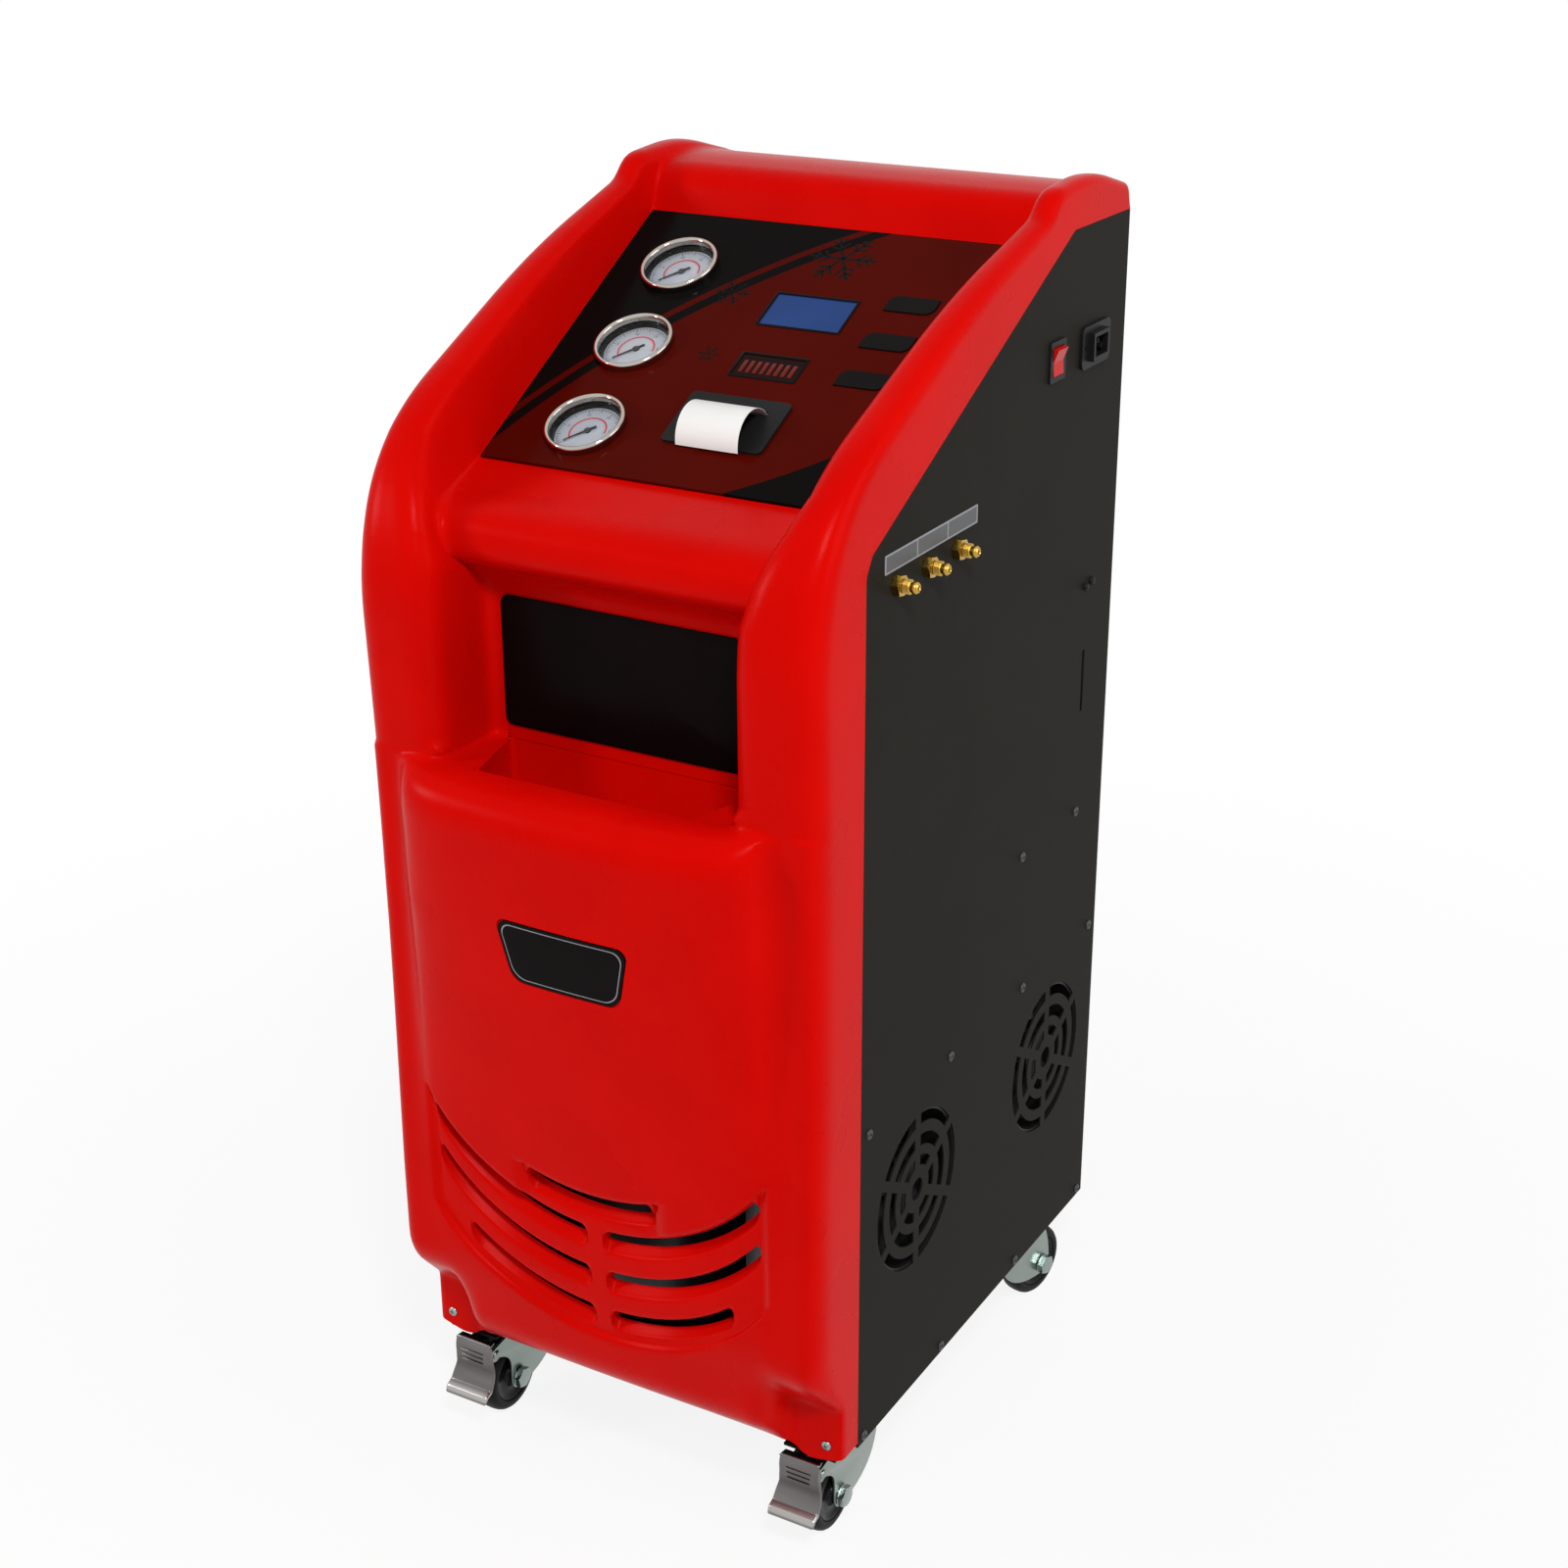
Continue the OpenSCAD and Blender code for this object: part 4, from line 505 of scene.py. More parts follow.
def net_row(s):
    """Half a cross-section at a station, from the middle to the seam."""
    m, r, e = at_station(middle_line, s), at_station(rail_line, s), at_station(seam_line, s)
    section = [np.interp(s, SECTIONS[:, 0], SECTIONS[:, k]) for k in range(1, 8)]
    foot, crest, share, b_mid, b_foot, b_crest, b_out = section
    corners = ((0, *m), (foot, *(m + (r - m) * share)), (crest, *r), (HALF_W, *r), (HALF_W, *e))
    q = [np.array(corner) for corner in corners]
    bow = q[0] + (q[1] - q[0]) * min(b_mid, foot - b_foot - 6) / foot
    flat = curve(bow * (-1, 1, 1), q[0], bow, np.linspace(0.5, 1, 9))
    parts = [flat, bend(*q[:3], b_foot, 10), bend(*q[1:4], b_crest, 10), bend(*q[2:], b_out, 14)]
    parts.append(q[4][None])
    line = np.concatenate(parts)
    along = np.concatenate([[0], np.cumsum(np.linalg.norm(np.diff(line, axis=0), axis=1))])
    ends = np.cumsum([len(p) for p in parts])
    marks = along[[0, ends[0], ends[1] - 1, ends[1], ends[2] - 1, ends[2], ends[3] - 1, ends[3]]]
    spans = [np.linspace(marks[k], marks[k + 1], n + 1)[1:] for k, n in enumerate(SPANS)]
    by_span = np.concatenate([[0]] + spans)
    ahead = np.maximum.accumulate(line[:, 0])
    first = np.interp(VENT_X, ahead + np.arange(len(ahead)) * 1e-7, along)
    by_x = np.concatenate([first, np.linspace(first[-1], marks[6], SPANS[5] + 1)[1:], spans[6]])
    blend = smooth_step(VENT_TO, SPANS_FROM, s)
    chosen = by_x * (1 - blend) + by_span * blend
    row = np.stack([np.interp(chosen, along, line[:, k]) for k in range(3)], 1)
    row[:, 2] += np.interp(row[:, 0], TAB_X, TAB_DROP) * max(1 - s / TAB_REACH, 0)
    return row


stations = np.arange(0, ST_BACK, 0.75)
stations[-1] = ST_BACK
net = np.array([net_row(s) for s in stations])
print("net of %d by %d points" % net.shape[:2])

# %% [markdown]
# The vent is a sunk field with seven curved louvres. Each slot has a rounded lower lip, a ledge
# that climbs inwards and a dark gap. Rows are listed by their place below a slot's middle and depth.

# %% Rows of the vent
SLOT_Z = [208, 250, 292, 326]
SLOT_SPAN = [(14, 126), (14, 153), (14, 153), (-57, 57)]
VENT_R, SUNK = 200.0, 5.0
SLOT_ROWS = [(19, 0), (16.8, 0.15), (15.4, 0.7), (14.3, 1.7), (13.4, 3.0), (12.4, 4.2), (9.6, 7.4),
             (7.0, 10.5), (-5.6, 13), (-6.0, 4), (-6.4, 1.6), (-7.4, 0.5), (-9, 0.1), (-11, 0)]
GAP_ROW, END_R, SLOT_MID = 7, 6.5, 4.0
column_x = np.concatenate([VENT_X, np.full(net.shape[1] - len(VENT_X), VENT_X[-1])])
arc = VENT_R - np.sqrt(VENT_R ** 2 - np.minimum(column_x, 168) ** 2)


def slot_reach(k):
    """How much of slot k each column crosses: 1 inside, round towards its ends, 0 outside."""
    low, high = SLOT_SPAN[k]
    past = np.maximum(np.maximum(low - column_x, column_x - high), 0)
    return np.sqrt(np.clip(1 - (past / END_R) ** 2, 0, 1))


# each row: z, extra depth and sunk share per column, and the slot whose gap follows
rows = []
side = 1 - smooth_step(160.5, 170, column_x)
inner = 1 - smooth_step(62, 74, column_x)
for v, share in [(31, 0), (27, 0.0), (25, 0.06), (23.6, 0.25), (22.3, 0.6), (21.0, 0.9), (19.8, 1)]:
    rows.append((SLOT_Z[0] + arc - v, 0 * arc, share * side, None))
for k in range(4):
    reach = slot_reach(k)
    pinch = np.where(reach > 0, np.maximum(reach, 0.15), 1)
    for i, (v, deep) in enumerate(SLOT_ROWS):
        squeeze = SLOT_MID + (v - SLOT_MID) * (pinch if 0 < i < len(SLOT_ROWS) - 1 else 1)
        field = side if k < 3 else side * inner
        if k == 2 and v < -6.2:
            field = side * (inner + (1 - inner) * {-6.4: 1.0, -7.4: 0.9, -9: 0.5, -11: 0.12}[v])
        if k == 3 and v < -6.2:
            field = side * inner * {-6.4: 1.0, -7.4: 0.85, -9: 0.4, -11: 0.05}[v]
        rows.append((SLOT_Z[k] + arc - squeeze, deep * (reach > 0.2), field, k if i == GAP_ROW else None))
    if k < 2:
        for v in (-14, -18):
            rows.append((SLOT_Z[k] + arc - v, 0 * arc, side, None))
rows.append((SLOT_Z[3] + arc + 15, 0 * arc, 0 * side, None))
print(len(rows), "vent rows")

# %% Build the shell's skin
FRONT_END, FOOT_SPAN = 470, 166.0


def net_at(s):
    """The net at one station per column."""
    pick = np.clip(np.searchsorted(stations, s) - 1, 0, len(stations) - 2)
    t = ((s - stations[pick]) / (stations[pick + 1] - stations[pick]))[:, None]
    columns = np.arange(net.shape[1])
    return net[pick, columns] * (1 - t) + net[pick + 1, columns] * t


def station_of(z):
    """The station at which each column of the front reaches a height."""
    upto = np.searchsorted(stations, FRONT_END)
    return np.array([np.interp(h, net[:upto, j, 2], stations[:upto]) for j, h in enumerate(z)])


width = net.shape[1]
vent_low, vent_high = station_of(rows[0][0]), station_of(rows[-1][0])
FOOT_ROWS = [0, 1.5, 4, 9, 18, 28, 38, 45, 49, 52, 55, 58, 61, 66, 74, 82, 90, 97, 103, 109, 115, 122,
             131, 142, 154]
grid, gap_after = [net_at(vent_low * s / FOOT_SPAN) for s in FOOT_ROWS], {}
for z, deep, field, gap in rows:
    line = net_at(station_of(z))
    line[:, 1] += SUNK * field + deep * (field > 0.3)
    if gap is not None:
        gap_after[len(grid)] = gap
    grid.append(line)
for k in range(1, 9):
    grid.append(net_at(vent_high + (FRONT_END - vent_high) * k / 9))
# begin, end and pitch of the rows above the vent, close where the shell bends
UPPER = [
    (FRONT_END, 545, 6), (545, ST_FLOOR - 2, 3), (ST_FLOOR - 2, ST_FLOOR + 36, 1.5),
    (ST_FLOOR + 37, ST_ROOF - 20, 7), (ST_ROOF - 20, ST_ROOF + 46, 2.2), (ST_ROOF + 48, ST_LOW - 6, 3.5),
    (ST_LOW - 6, ST_LOW + 5, 1.4), (ST_LOW + 6, ST_HIGH - 5, 7), (ST_HIGH - 5, ST_HIGH + 6, 1.4),
    (ST_HIGH + 7, ST_TOP + 20, 2.2), (ST_TOP + 22, ST_BACK - 22, 5), (ST_BACK - 20, ST_BACK, 1.6)]
for s in np.concatenate([np.arange(*span) for span in UPPER] + [[ST_BACK]]):
    grid.append(net_at(np.full(width, s)))
grid = np.array(grid)
whole = np.concatenate([grid[:, :0:-1] * (-1, 1, 1), grid], axis=1)
tall, wide = whole.shape[:2]
reaches = {k: np.concatenate([slot_reach(k)[:0:-1], slot_reach(k)]) for k in range(4)}


def in_window(p):
    """True inside the opening under the panel."""
    s = p[1] * COS + (p[2] - FRONT_TOP) * SIN
    h = (p[2] - FRONT_TOP) * COS - p[1] * SIN
    return abs(h + PANEL_T) < 0.5 and 60 < s < 361 and abs(p[0]) < 155


faces = []
for i in range(tall - 1):
    for j in range(wide - 1):
        if i in gap_after and min(reaches[gap_after[i]][j:j + 2]) > 0.2:
            continue
        if i > 150 and in_window(whole[i, j]) and in_window(whole[i + 1, j + 1]):
            continue
        a, b = i * wide + j, (i + 1) * wide + j
        faces.append((a, a + 1, b + 1, b))
shell = mesh_piece("front_moulding", [place(*p) for p in whole.reshape(-1, 3)], faces)
only(shell)
bpy.ops.object.mode_set(mode="EDIT")
bpy.ops.mesh.select_all(action="SELECT")
bpy.ops.mesh.remove_doubles(threshold=0.00002)
bpy.ops.mesh.delete_loose()
bpy.ops.object.mode_set(mode="OBJECT")
thicken(shell, 3)
give(shell, "front_moulding", "cabinet", ["front_shell"], "red_moulding", smooth=42)
print("shell of", len(shell.data.polygons), "faces")

# %% [markdown]
# Round parts such as bezels, ports, wheels and screw heads are turned. A circle is extruded from
# point to point of the profile and scaled to each radius, so every ridge is a real edge loop.

# %% Turned and flat pieces


def turned(profile, vertices=64):
    """A turned piece about Z from (radius, height) points in mm; a ring if the profile closes."""
    start()
    ring = profile[0] == profile[-1]
    (r_last, z_last), rest = profile[0], profile[1:]
    bpy.ops.mesh.primitive_circle_add(vertices=vertices, radius=r_last * MM, enter_editmode=True,
                                      fill_type="NOTHING" if ring else "NGON", location=(0, 0, 0))
    bpy.ops.mesh.select_all(action="SELECT")
    bpy.ops.transform.translate(value=(0, 0, z_last * MM))
    for r, z in rest:
        bpy.ops.mesh.extrude_edges_move(TRANSFORM_OT_translate={"value": (0, 0, (z - z_last) * MM)})
        bpy.ops.transform.resize(value=(r / r_last, r / r_last, 1), center_override=(0, 0, 0))
        r_last, z_last = r, z
    if not ring:
        bpy.ops.mesh.edge_face_add()
    bpy.ops.mesh.select_all(action="SELECT")
    bpy.ops.mesh.remove_doubles(threshold=0.000001)
    bpy.ops.mesh.normals_make_consistent(inside=False)
    bpy.ops.object.mode_set(mode="OBJECT")
    return bpy.context.object


def plate(points, thickness):
    """A plate from an outline in mm."""
    flat = [(x * MM, y * MM, 0) for x, y in points]
    piece = mesh_piece("plate", flat, [tuple(range(len(flat)))])
    only(piece)
    bpy.ops.object.mode_set(mode="EDIT")
    bpy.ops.mesh.select_all(action="SELECT")
    bpy.ops.mesh.extrude_region_move(TRANSFORM_OT_translate={"value": (0, 0, thickness * MM)})
    bpy.ops.mesh.select_all(action="SELECT")
    bpy.ops.mesh.normals_make_consistent(inside=False)
    bpy.ops.object.mode_set(mode="OBJECT")
    return piece


def block(size, middle=(0, 0, 0)):
    """A box in mm about a middle point."""
    start()
    bpy.ops.mesh.primitive_cube_add(size=1, location=(0, 0, 0))
    piece = bpy.context.object
    grown = Matrix.Diagonal((*[v * MM for v in size], 1))
    piece.data.transform(Matrix.Translation(Vector(middle) * MM) @ grown)
    return piece


def arc_points(x, y, r, begin, end, steps=8):
    """Points of an arc between two angles."""
    turns = np.radians(np.linspace(begin, end, steps + 1))
    return [(x + r * cos(a), y + r * sin(a)) for a in turns]


def rounded(w, h, r, steps=6):
    """A rectangle with round corners."""
    x, y = w / 2 - r, h / 2 - r
    corners = [(x, y, 0), (-x, y, 90), (-x, -y, 180), (x, -y, 270)]
    return [p for cx, cy, a in corners for p in arc_points(cx, cy, r, a, a + 90, steps)]


def placed(piece, matrix):
    """Puts a piece in its place, in its mesh."""
    applied(piece)
    piece.data.transform(matrix)
    return piece


def twin(piece, matrix):
    """A copy with its own mesh, moved by a matrix."""
    copy = piece.copy()
    copy.data = piece.data.copy()
    copy.data.transform(matrix)
    bpy.context.collection.objects.link(copy)
    return copy


def joined(pieces):
    """Several pieces as one object."""
    for piece in pieces:
        applied(piece)
    start()
    for piece in pieces:
        piece.select_set(True)
    bpy.context.view_layer.objects.active = pieces[0]
    bpy.ops.object.join()
    return bpy.context.object


print("lathe and plate helpers ready")

# %% [markdown]
# Each gauge has a polished rim with a full round crest, a shallow well with a pale dial, a hand and
# a flat glass. The dial's marks, red arc and plain numbers are modelled as thin print.

# %% Gauge rims
GAUGES = {"upper": (-113.7, 300), "middle": (-102.6, 198), "lower": (-91.6, 96)}
RIM = [(30.9, 0.15), (34.5, 0.15), (34.5, 4.6)]
RIM += [(32.2 + 2.3 * cos(a), 4.9 + 2.9 * sin(a)) for a in np.radians(range(0, 181, 15))]
RIM += [(29.9, 4.0), (29.9, 2.35), (30.9, 2.35), (30.9, 0.15)]
rims = [placed(turned(RIM, 96), panel_frame(x, s)) for x, s in GAUGES.values()]
give(joined(rims), "gauge_rims", "cabinet", ["gauge_bezels"], "chrome_bezel", smooth=50)
print("three gauge rims")

# %% Gauge dials
finish("print_black", (0.012, 0.012, 0.014), (0.018, 0.018, 0.02), 0.5)
finish("print_red", (0.5, 0.01, 0.008), (0.56, 0.014, 0.01), 0.45)
DIAL_H, DIAL_R, INK, HAND_REST = -4.2, 28.2, 0.08, 135
SCALE_R, SCALE_STEPS, SCALE_BEGIN, SCALE_SWEEP = 26.2, 40, 225, 270
RED_R, RED_STEPS, NUMBER_R, NUMBER_H = 14.9, 27, 20.2, 4.2


def dial_number(text, angle):
    """An upright printed number."""
    start()
    bpy.ops.object.text_add(location=(0, 0, 0))
    letter = bpy.context.object.data
    letter.body, letter.size, letter.extrude = text, NUMBER_H * MM, 0.02 * MM
    letter.align_x = letter.align_y = "CENTER"
    bpy.ops.object.convert(target="MESH")
    number = bpy.context.object
    a = radians(angle)
    number.data.transform(moved(NUMBER_R * cos(a), NUMBER_R * sin(a), INK))
    return paint(number, "print_black")


def dial_mark(long, wide, outer, angle, ink):
    """A printed line that points at the dial's middle."""
    line = block((long, wide, INK), (outer - long / 2, 0, 0.06))
    return paint(placed(line, spun(angle)), ink)


def dial_arc(inner, outer, begin, end, ink):
    """A thin printed arc between two radii."""
    outline = arc_points(0, 0, outer, begin, end, 48) + arc_points(0, 0, inner, end, begin, 48)
    return paint(plate(outline, INK), ink)


def dial():
    """Disc, outer scale, numbers and red inner scale."""
    disc = [(DIAL_R, -1.0), (DIAL_R, -0.1), (28.0, 0), (1.8, 0), (1.8, -1.0), (DIAL_R, -1.0)]
    parts = [paint(turned(disc, 72), "dial_face")]
    angles = [SCALE_BEGIN - SCALE_SWEEP * k / SCALE_STEPS for k in range(SCALE_STEPS + 1)]
    for k, a in enumerate(angles):
        parts.append(dial_mark(*((1.9, 0.3) if k % 4 else (3.4, 0.55)), SCALE_R, a, "print_black"))
    parts += [dial_number(str(5 * k), a) for k, a in enumerate(angles[::8])]
    parts.append(dial_arc(SCALE_R, 26.5, -45, SCALE_BEGIN, "print_black"))
    parts.append(dial_arc(15.0, 16.4, 0, SCALE_BEGIN, "print_red"))
    for k in range(RED_STEPS + 1):
        a = SCALE_BEGIN - SCALE_BEGIN * k / RED_STEPS
        parts.append(dial_mark(1.4, 0.22, RED_R, a, "print_red"))
    return joined(parts)


first = dial()
dials = [twin(first, panel_frame(x, s, DIAL_H)) for x, s in GAUGES.values()]
bpy.data.objects.remove(first)
give(joined(dials), "printed_dials", "cabinet", ["gauge_dials"])
print("three dials with marks and numbers")

# %% Gauge hands
BLADE = [(-1.2, -8), (1.2, -8), (1.1, 0), (0.4, 21), (-0.4, 21), (-1.1, 0)]
BOSS = [(3.0, 0.2), (3.0, 1.3), (2.7, 1.7), (1.5, 2.1), (0.3, 2.2)]
for name, (x, s) in GAUGES.items():
    blade = placed(soften(plate(BLADE, 0.6), 0.12, 2), moved(0, 0, 0.9))
    hand = joined([paint(blade, "print_black"), paint(turned(BOSS, 28), "black_oxide")])
    placed(hand, panel_frame(x, s, DIAL_H) @ spun(HAND_REST))
    give(hand, "%s_hand" % name, "%s_needle" % name, ["%s_needle" % name])
print("three hands")

# %% [markdown]
# The panel is printed from behind: a dark red field, black corners and a thin stripe on a wide
# arc. The shader measures the distance from far centres, so the arcs stay sharp at any size.

# %% Panel print
ARC_REACH, PANEL_BLACK = 0.9, (0.0045, 0.0036, 0.0034, 1)


def arc_field(tree, centre, steps):
    """The share of black by the distance from a centre, changed at each step's edge."""
    where = add(tree, "TexCoord")["Object"]
    away = add(tree, "VectorMath", {0: where, 1: centre}, operation="DISTANCE")["Value"]
    share = add(tree, "Math", {0: away, 1: ARC_REACH}, operation="DIVIDE")[0]
    stops = [(edge / ARC_REACH, (black,) * 3) for edge, black in ((0, 0), *steps)]
    return ramp(tree, share, stops, "CONSTANT")


panel_tree = finishes["panel_acrylic"].node_tree
upper = arc_field(panel_tree, on_panel(428, -130), ((0.624, 1), (0.633, 0), (0.643, 1)))
lower = arc_field(panel_tree, on_panel(-215, 455), ((0.492, 1),))
either = add(panel_tree, "Math", {0: upper, 1: lower}, operation="MAXIMUM")[0]
overlay("panel_acrylic", {"Factor": either, "B": PANEL_BLACK})
print("panel print on arcs")

# %% Frost stars


def frost_star(r):
    """A six-armed frost star as thin print."""
    parts = []
    for turn in (spun(60 * k) for k in range(6)):
        parts.append(placed(block((r, r * 0.085, 0.05), (r / 2, 0, 0.03)), turn))
        for share, long in ((0.42, 0.34), (0.68, 0.24)):
            for tilt in (50, -50):
                branch = block((r * long, r * 0.075, 0.05), (r * long / 2, 0, 0.03))
                parts.append(placed(branch, turn @ moved(r * share, 0, 0) @ spun(tilt)))
    return joined(parts)


stars = []
for x, s, r in ((27, 335, 31), (-50, 277, 17), (-32, 200, 10)):
    stars.append(placed(frost_star(r), panel_frame(x, s, 0.02)))
give(joined(stars), "frost_star_print", "cabinet", surface="gloss_black")
print("three frost stars")

# %% [markdown]
# The keys are low black caps that keep their solids and get rounded edges. The lamp window shows
# a row of dull red bars, small blocks that stand just above the smoked plastic.

# %% Keys, display and lamp bars
ROUND_EDGES = {"upper_key": 0.5, "middle_key": 0.5, "lower_key": 0.5, "printer_body": 0.8,
               "switch_frame": 0.6, "switch_rocker": 0.6, "power_inlet": 0.8}
for name, width in ROUND_EDGES.items():
    soften(nodes[name], width)
    if name.endswith("_key"):
        paint(nodes[name], "gloss_black")
finish("lamp_red", (0.1, 0.006, 0.004), (0.13, 0.008, 0.005), 0.3, gloss=0.1,
       Emission_Color=(0.5, 0.03, 0.02, 1), Emission_Strength=0.05)
bars = []
for k in range(8):
    bar = soften(block((3.6, 14.5, 0.5), (0, 0, -0.25)), 0.2, 2)
    bars.append(placed(bar, panel_frame(28 - 22.75 + 6.5 * k, 193 - 1.5)))
give(joined(bars), "lamp_bars", "cabinet", surface="lamp_red")
for label, x, s, w, h in (("display_border", 29.3, 263, 74, 39), ("lamp_border", 28, 193, 58, 26)):
    border = carve(plate(rounded(w + 5, h + 5, 2.5), 0.5), block((w, h, 3)))
    placed(soften(border, 0.2, 2), panel_frame(x, s, 0.02))
    give(border, label, "cabinet", surface="gloss_black")
print("keys, borders and lamp bars")

# %% [markdown]
# Bare trim plates: one on the back wall of the recess, a badge plate on the belly and a strip above
# the ports. The badge follows the belly, so its net takes its depth from the shell's own surface.

# %% Recess plate and port strip
finish("plate_black", (0.0035, 0.0016, 0.0016), (0.0045, 0.0022, 0.002), 0.3, bump=0.02, gloss=0.03)
finish("strip_grey", (0.24, 0.25, 0.27), (0.29, 0.3, 0.32), 0.45)
finish("strip_dark", (0.05, 0.052, 0.056), (0.062, 0.064, 0.07), 0.4)
recess_plate = soften(plate(rounded(242, 112, 8), 2.0), 0.7)
placed(recess_plate, standing(0, -0.05, 758) @ FRONT_TURN)
give(recess_plate, "recess_plate", "cabinet", surface="plate_black")
parts = [paint(plate(rounded(156, 15, 0.8), 0.5), "strip_grey")]
for k in (-1, 0, 1):
    cell = paint(plate(rounded(49.5, 12.2, 0.4), 0.12), "strip_dark")
    parts.append(placed(cell, moved(k * 51.4, 0, 0.45)))
port_strip = placed(joined(parts), side_frame(106, 880.5, HALF_W + 0.02))
give(port_strip, "port_strip", "cabinet")
print("recess plate and port strip")

# %% Badge plate on the belly
BADGE_Z, BADGE_H, BADGE_TOP, BADGE_FOOT, BADGE_R = 558.0, 54.0, 62.0, 50.0, 11.0
BELLY = net[(stations > 380) & (stations < 540), :60]


def front_y(x, z):
    """Depth of the shell's front at a place on the belly."""
    ys, zs = ([np.interp(abs(x), row[:, 0], row[:, k]) for row in BELLY] for k in (1, 2))
    return float(np.interp(z, zs, ys))


def badge_half(v, grow):
    """Half the badge's width at a height v above its middle."""
    reach = BADGE_H / 2 + grow
    half = BADGE_FOOT + (BADGE_TOP - BADGE_FOOT) * (v / BADGE_H + 0.5) + grow
    past = max(abs(v) - (reach - BADGE_R), 0)
    return half - BADGE_R + sqrt(max(BADGE_R ** 2 - past ** 2, 0.04))


def badge_net(grow, front, back, across=24, up=28):
    """A slab with the badge's outline that follows the belly, between two depths."""
    reach = BADGE_H / 2 + grow
    levels = [reach * sin(pi / 2 * (2 * i / up - 1)) for i in range(up + 1)]
    points, wide = [], across + 1
    sheet = (up + 1) * wide
    for depth in (front, back):
        for v in levels:
            half = badge_half(v, grow)
            for x in (half * (2 * j / across - 1) for j in range(wide)):
                points.append(place(x, front_y(x, BADGE_Z + v) + depth, BADGE_Z + v))
    quads = []
    for i in range(up):
        for a in range(i * wide, i * wide + across):
            b, behind = a + wide, a + sheet
            quads += [(a, a + 1, b + 1, b), (behind, b + sheet, b + 1 + sheet, behind + 1)]
    edge = list(range(across)) + [i * wide + across for i in range(up)]
    edge += [up * wide + j for j in range(across, 0, -1)] + [i * wide for i in range(up, 0, -1)]
    quads += [(a, a + sheet, b + sheet, b) for a, b in zip(edge, edge[1:] + edge[:1])]
    return mesh_piece("badge", points, quads)


badge_seat = badge_net(1.2, -6, 1.8)
badge = paint(badge_net(0, -0.3, 1.75), "gloss_black")
outline = paint(badge_net(-2.6, -0.42, 0.5), "strip_grey")
field = paint(badge_net(-3.4, -0.50, 0.5), "gloss_black")
give(joined([badge, outline, field]), "badge_plate", "cabinet")
carve(shell, badge_seat)
print("badge plate, and shell with seat:", len(shell.data.polygons), "faces")

# %% [markdown]
# The floor of the recess opens into a storage pocket, a tub with thin walls. A tapered block is
# hollowed by one with rounded edges, and the shell gets a hole of the same outline.

# %% Storage pocket
POCKET_FLOOR, POCKET_BACK, POCKET_FRONT, POCKET_Y, POCKET_WALL = 632.0, 118, 100, -71, 2.5


def pocket_block(grow, back, low, high):
    """The pocket's tapered prism, grown by a wall."""
    wide, narrow, front = POCKET_BACK + grow, POCKET_FRONT + grow, POCKET_Y - grow
    prism = plate([(-wide, back), (-narrow, front), (narrow, front), (wide, back)], high - low)
    prism.data.transform(standing(0, 0, low))
    return prism


carve(shell, pocket_block(POCKET_WALL, 1.0, 640, 712))
tub = pocket_block(2.4, 0.95, POCKET_FLOOR - POCKET_WALL, RECESS_FLOOR)
carve(tub, applied(soften(pocket_block(0, 0, POCKET_FLOOR, 750), 5, 5)))
wall_strip = block((236, 0.95, 22.2), (0, 0.475 - CAB_D / 2, 700.8))
tub = joined([tub, wall_strip])
give(tub, "storage_pocket", "cabinet", surface="red_moulding")
print("pocket of", len(tub.data.polygons), "faces")

# %% [markdown]
# The service ports are brass flare fittings: a threaded neck, a groove and a coned nose with a
# bore, turned in one go, and a hexagon cut by a cone, so its corners get the arcs of a real nut.

# %% Service ports
PORT_Y, PORT_Z = (46.7, 97.7, 148.7), 861


def hexagon(radius, low, high, chamfer):
    """A hexagon whose outer corners are turned to a chamfer."""
    prism = turned([(radius, low), (radius, high)], 6)
    outer = radius + 0.5
    cone = [(outer, low - 1), (outer, high - chamfer * 0.62), (radius - chamfer, high)]
    return carve(prism, turned(cone, 48), "INTERSECT")


def flare_port():
    """One flare fitting about Z."""
    neck = [(4.0, 6.0), (5.9, 6.0), (5.9, 7.2)]
    for k in range(5):
        z = 7.4 + 1.15 * k
        neck += [(5.3, z), (5.8, z + 0.45), (5.8, z + 0.7)]
    neck += [(5.0, 13.3), (4.2, 13.7), (4.2, 14.8), (4.9, 15.3), (4.9, 17.3), (4.5, 18.0), (3.1, 19.4),
             (2.4, 19.5), (2.1, 19.0), (2.1, 10.0), (4.0, 6.0)]
    return joined([hexagon(9.0, 0.2, 6.4, 1.3), turned(neck, 48)])


ports = [placed(flare_port(), side_frame(y, PORT_Z) @ spun(20)) for y in PORT_Y]
give(joined(ports), "flare_ports", "cabinet", ["service_ports"], "turned_brass", smooth=40)
print("three flare ports")

# %% [markdown]
# Sheet screws have a low domed head with a cross recess. One head is modelled, and the others are
# copies that lie flat on their sheet. Two bright ones sit in the corner tabs of the moulding.

# %% Screws and plugs
SIDE_SCREWS = [(y, 110) for y in (10, 156.7, 313.3, 458)] + [(y, 404) for y in (14, 162, 307, 455)]
SIDE_SCREWS += [(296, 538), (411, 538)]


def screw_head():
    """A domed head with a cross recess."""
    head = turned([(1.7, -3.0), (1.7, 0.0), (4.5, 0.0), (4.6, 0.25), (4.5, 0.7), (4.0, 1.35), (3.1, 1.85),
                   (1.9, 2.15), (0.6, 2.25)], 32)
    for turn in (0, 90):
        slot = soften(block((4.6, 1.1, 2.4), (0, 0, 2.0)), 0.3, 2)
        carve(head, placed(slot, spun(turn)))
    return head


